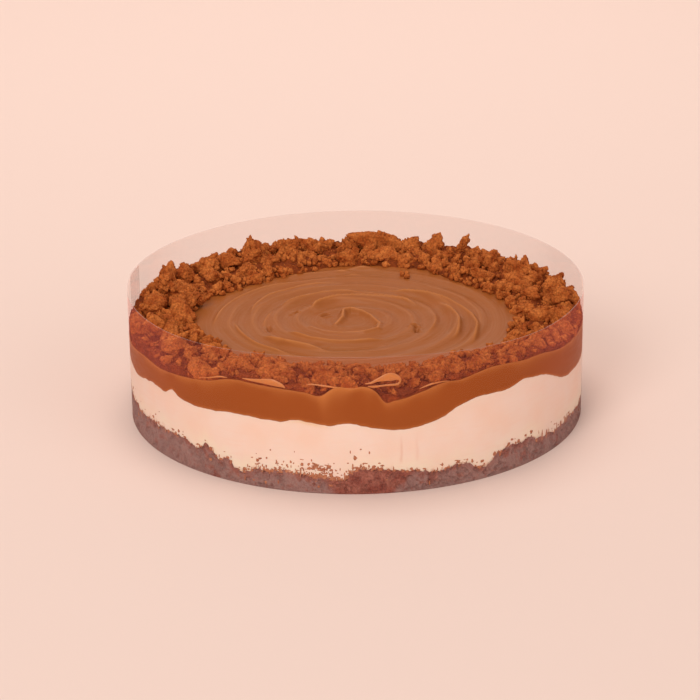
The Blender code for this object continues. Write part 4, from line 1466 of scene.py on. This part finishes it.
def build_stage(sizes, colours):
    """Pale floor that curves up into a backdrop, four soft lights, a pale sky and the camera.

    The floor is a profile carried along X: flat, then a quarter circle, then upright.
    """
    columns = 33
    across = np.linspace(-4, 4, columns)
    back = 1.6
    bend = 0.9
    profile = [(-3.0, 0.0), (back, 0.0)]
    for angle in np.linspace(0, np.pi / 2, 17)[1:]:
        profile.append((back + bend * math.sin(angle), bend - bend * math.cos(angle)))
    profile.append((back + bend, 4.0))
    y, z = np.array(profile).T
    px, py = np.meshgrid(across, y, indexing="ij")
    _, pz = np.meshgrid(across, z, indexing="ij")
    rows = len(y)
    i, j = np.meshgrid(np.arange(columns - 1), np.arange(rows - 1), indexing="ij")
    quads = np.stack(
        [i * rows + j, (i + 1) * rows + j, (i + 1) * rows + j + 1, i * rows + j + 1], axis=-1
    ).reshape(-1, 4)
    points = np.stack([px, py, pz + FOOT_HEIGHT], axis=-1).reshape(-1, 3)
    mesh = make_mesh("stage_floor", points, quads)
    mesh.materials.append(plain_material("Pale stage", colours.stage, 0.7))
    mesh.shade_smooth()
    floor = bpy.data.objects.new("stage_floor", mesh)
    bpy.context.scene.collection.objects.link(floor)

    scene = bpy.context.scene
    world = bpy.data.worlds.new("Soft room")
    world.use_nodes = True
    sky = world.node_tree.nodes["Background"]
    sky.inputs["Color"].default_value = opaque(colours.room)
    sky.inputs["Strength"].default_value = 0.5
    scene.world = world
    cake = (0.0, 0.0, 0.03)
    lights = (
        ("key", (-1.0, -2.1, 1.35), cake, 1.0, 30.0),
        ("fill", (1.7, -1.4, 1.0), cake, 1.5, 8.5),
        ("top", (-0.2, 0.5, 2.2), cake, 1.5, 13.0),
        ("backdrop", (0.0, 0.7, 1.9), (0.0, 2.5, 0.9), 1.5, 15.0),
    )
    for name, where, target, span, power in lights:
        data = bpy.data.lights.new(name, "AREA")
        data.shape = "SQUARE"
        data.size = span
        data.energy = power
        data.color = (1.0, 0.96, 0.93)
        lamp = bpy.data.objects.new(name, data)
        way = Vector(target) - Vector(where)
        turn = way.to_track_quat("-Z", "Y").to_matrix().to_4x4()
        lamp.matrix_world = Matrix.Translation(where) @ turn
        scene.collection.objects.link(lamp)

    data = bpy.data.cameras.new("view")
    data.lens = CAMERA_LENS
    data.sensor_width = 36.0
    data.clip_start = 0.05
    data.clip_end = 20.0
    camera = bpy.data.objects.new("view", data)
    aim = (
        Matrix.Rotation(-CAMERA_YAW, 4, "Z")
        @ Matrix.Rotation(math.pi / 2 - CAMERA_PITCH, 4, "X")
        @ Matrix.Rotation(CAMERA_ROLL, 4, "Z")
    )
    camera.matrix_world = Matrix.Translation(CAMERA_PLACE) @ aim
    scene.collection.objects.link(camera)
    scene.camera = camera
    scene.view_settings.view_transform = "Standard"


def colour_property(name, description, default):
    """Property that holds a colour."""
    return bpy.props.FloatVectorProperty(
        name=name, description=description, default=default, subtype="COLOR", min=0.0, max=1.0
    )


class CheesecakeSizes(bpy.types.PropertyGroup):
    """Sizes and counts that a user would change."""

    film_thickness: bpy.props.FloatProperty(
        name="Film thickness",
        description="Thickness of the clear collar",
        default=0.3 * MM,
        min=0.05 * MM,
        max=0.5 * MM,
        subtype="DISTANCE",
        unit="LENGTH",
    )
    medium_lumps: bpy.props.IntProperty(
        name="Medium lumps",
        description="Cookie lumps of 4 to 8 mm on the crumb ring",
        default=270,
        min=1,
    )
    small_lumps: bpy.props.IntProperty(
        name="Small lumps",
        description="Cookie lumps of 2 to 4 mm on the crumb ring",
        default=1250,
        min=len(STRAYS),
    )
    grains: bpy.props.IntProperty(
        name="Grains",
        description="Loose grains about a millimetre wide",
        default=4200,
        min=1,
    )
    specks: bpy.props.IntProperty(
        name="Specks",
        description="Biscuit crumbs caught between the cream and the film",
        default=900,
        min=1,
    )


class CheesecakeColours(bpy.types.PropertyGroup):
    """Colours of the layers, in linear light."""

    biscuit: colour_property("Biscuit", "Pressed biscuit", (0.24, 0.047, 0.027))
    # Dark specks of the biscuit, and painted shade in the gaps between its grains
    biscuit_dark_and_gap_shade: colour_property("Biscuit gaps", "Gaps between its grains", (0.10, 0.018, 0.010))
    biscuit_light: colour_property("Biscuit grains", "Its pale grains", (0.42, 0.15, 0.10))
    # Painted reflection: greyish veil of the film where the biscuit lies off it
    biscuit_painted_reflection: colour_property("Biscuit veil", "Where it is off the film", (0.305, 0.20, 0.18))
    speck: colour_property("Specks", "Biscuit crumbs in the cream", (0.46, 0.145, 0.060))
    # Dark parts of the specks, and painted shade in the gaps between their grains
    speck_dark_and_gap_shade: colour_property("Speck gaps", "Their dark parts", (0.28, 0.075, 0.033))
    speck_light: colour_property("Pale specks", "Their pale parts", (0.60, 0.25, 0.125))
    cream: colour_property("Cream", "Set cream", (0.90, 0.71, 0.60))
    cream_warm: colour_property("Cream smears", "Smears in the cream", (0.90, 0.655, 0.52))
    cream_low: colour_property("Low cream", "Cream over the biscuit", (0.91, 0.77, 0.58))
    cream_stain: colour_property("Cream stain", "Cream near crumbs", (0.72, 0.36, 0.22))
    cream_rich: colour_property("Rich cream", "Yellow smear under the caramel", (0.86, 0.55, 0.30))
    caramel: colour_property("Caramel", "Spread caramel", (0.33, 0.098, 0.018))
    caramel_warm: colour_property("Warm caramel", "Its redder blotches", (0.345, 0.099, 0.018))
    caramel_deep: colour_property("Deep caramel", "Caramel at the film", (0.322, 0.078, 0.0115))
    # Paler caramel: the own colour of thin caramel at the film and in the skin, and a painted
    # highlight along the swirl's crests
    caramel_pale_and_highlight: colour_property("Caramel crest", "Thin caramel", (0.54, 0.185, 0.045))
    caramel_skin: colour_property("Caramel skin", "Folds at the film", (0.62, 0.20, 0.03))
    caramel_rim: colour_property("Skin rim", "Rims of the folds", (0.68, 0.27, 0.08))
    crumb: colour_property("Crumb", "Cookie crumb", (0.385, 0.078, 0.0125))
    # Dark specks of the crumb, and painted shade in the gaps between its grains
    crumb_dark_and_gap_shade: colour_property("Crumb gaps", "Its dark gaps", (0.085, 0.015, 0.0025))
    # Body colour of the crumb bed, darker than the lumps as painted shade between them
    crumb_bed_painted_shade: colour_property("Deep crumb", "The bed of crumbs", (0.17, 0.032, 0.006))
    crumb_shade: colour_property("Shaded crumb", "Raised parts of the bed", (0.34, 0.066, 0.011))
    crumb_light: colour_property("Pale crumb", "Its pale specks", (0.67, 0.20, 0.043))
    # Tints of the film's gloss, a painted reflection of red surroundings: red high up, greyish
    # pink low down, peach on inner faces
    film: colour_property("Film gloss", "Tone of its outer gloss", (1.0, 0.27, 0.26))
    film_low_painted_reflection: colour_property("Low gloss", "Tone of its gloss low down", (0.62, 0.52, 0.54))
    film_inside_painted_reflection: colour_property("Inner gloss", "Tone of its inner gloss", (0.9, 0.62, 0.52))
    film_through: colour_property("Film", "Tone seen through one face", (0.985, 0.97, 0.965))
    film_edge: colour_property("Film edge", "The film's cut edge", (0.95, 0.70, 0.64))
    stage: colour_property("Stage", "Pale floor and backdrop", (0.855, 0.68, 0.605))
    room: colour_property("Room", "Soft light of the room", (1.0, 0.90, 0.85))


class CakeOperator:
    """What the operators share: the current sizes and colours."""

    bl_options = {"REGISTER", "UNDO"}
    build = None

    def execute(self, context):
        scene = context.scene
        type(self).build(scene.cheesecake_sizes, scene.cheesecake_colours)
        return {"FINISHED"}


class CAKE_OT_biscuit(CakeOperator, bpy.types.Operator):
    """Add the pressed biscuit base"""

    bl_idname = "cake.biscuit"
    bl_label = "Biscuit base"
    build = staticmethod(build_biscuit_base)


class CAKE_OT_cream(CakeOperator, bpy.types.Operator):
    """Add the cream layer"""

    bl_idname = "cake.cream"
    bl_label = "Cream"
    build = staticmethod(build_cream)


class CAKE_OT_caramel(CakeOperator, bpy.types.Operator):
    """Add the caramel with its swirl"""

    bl_idname = "cake.caramel"
    bl_label = "Caramel"
    build = staticmethod(build_caramel)


class CAKE_OT_folds(CakeOperator, bpy.types.Operator):
    """Add the folds of caramel skin at the film"""

    bl_idname = "cake.folds"
    bl_label = "Caramel folds"
    build = staticmethod(build_folds)


class CAKE_OT_specks(CakeOperator, bpy.types.Operator):
    """Add the biscuit crumbs caught in the cream"""

    bl_idname = "cake.specks"
    bl_label = "Specks"
    build = staticmethod(build_specks)


class CAKE_OT_crumb_bed(CakeOperator, bpy.types.Operator):
    """Add the bed of fine crumbs"""

    bl_idname = "cake.crumb_bed"
    bl_label = "Crumb bed"
    build = staticmethod(build_crumb_bed)


class CAKE_OT_crumbs(CakeOperator, bpy.types.Operator):
    """Add the lumps and grains of cookie"""

    bl_idname = "cake.crumbs"
    bl_label = "Crumbs"
    build = staticmethod(build_crumbs)


class CAKE_OT_collar(CakeOperator, bpy.types.Operator):
    """Add the clear collar"""

    bl_idname = "cake.collar"
    bl_label = "Clear collar"
    build = staticmethod(build_collar)


class CAKE_OT_stage(CakeOperator, bpy.types.Operator):
    """Add the floor, the lights and the camera"""

    bl_idname = "cake.stage"
    bl_label = "Stage"
    build = staticmethod(build_stage)


OPERATORS = (
    CAKE_OT_stage,
    CAKE_OT_biscuit,
    CAKE_OT_cream,
    CAKE_OT_caramel,
    CAKE_OT_folds,
    CAKE_OT_specks,
    CAKE_OT_crumb_bed,
    CAKE_OT_crumbs,
    CAKE_OT_collar,
)


class CAKE_PT_pieces(bpy.types.Panel):
    """Lists the pieces of the cheesecake"""

    bl_label = "Cheesecake"
    bl_space_type = "VIEW_3D"
    bl_region_type = "UI"
    bl_category = "Cheesecake"

    def draw(self, context):
        scene = context.scene
        for operator in OPERATORS:
            self.layout.operator(operator.bl_idname)
        for settings in (scene.cheesecake_sizes, scene.cheesecake_colours):
            for name in settings.__annotations__:
                self.layout.prop(settings, name)


CLASSES = (CheesecakeSizes, CheesecakeColours, *OPERATORS, CAKE_PT_pieces)


def register():
    """Adds the classes, and the settings to each scene."""
    for each in CLASSES:
        bpy.utils.register_class(each)
    bpy.types.Scene.cheesecake_sizes = bpy.props.PointerProperty(type=CheesecakeSizes)
    bpy.types.Scene.cheesecake_colours = bpy.props.PointerProperty(type=CheesecakeColours)


def unregister():
    """Takes the settings and the classes out again."""
    del bpy.types.Scene.cheesecake_colours
    del bpy.types.Scene.cheesecake_sizes
    for each in reversed(CLASSES):
        bpy.utils.unregister_class(each)


def main():
    """Builds every piece and the stage."""
    register()
    for operator in OPERATORS:
        group, name = operator.bl_idname.split(".")
        getattr(getattr(bpy.ops, group), name)()


if __name__ == "__main__":
    main()
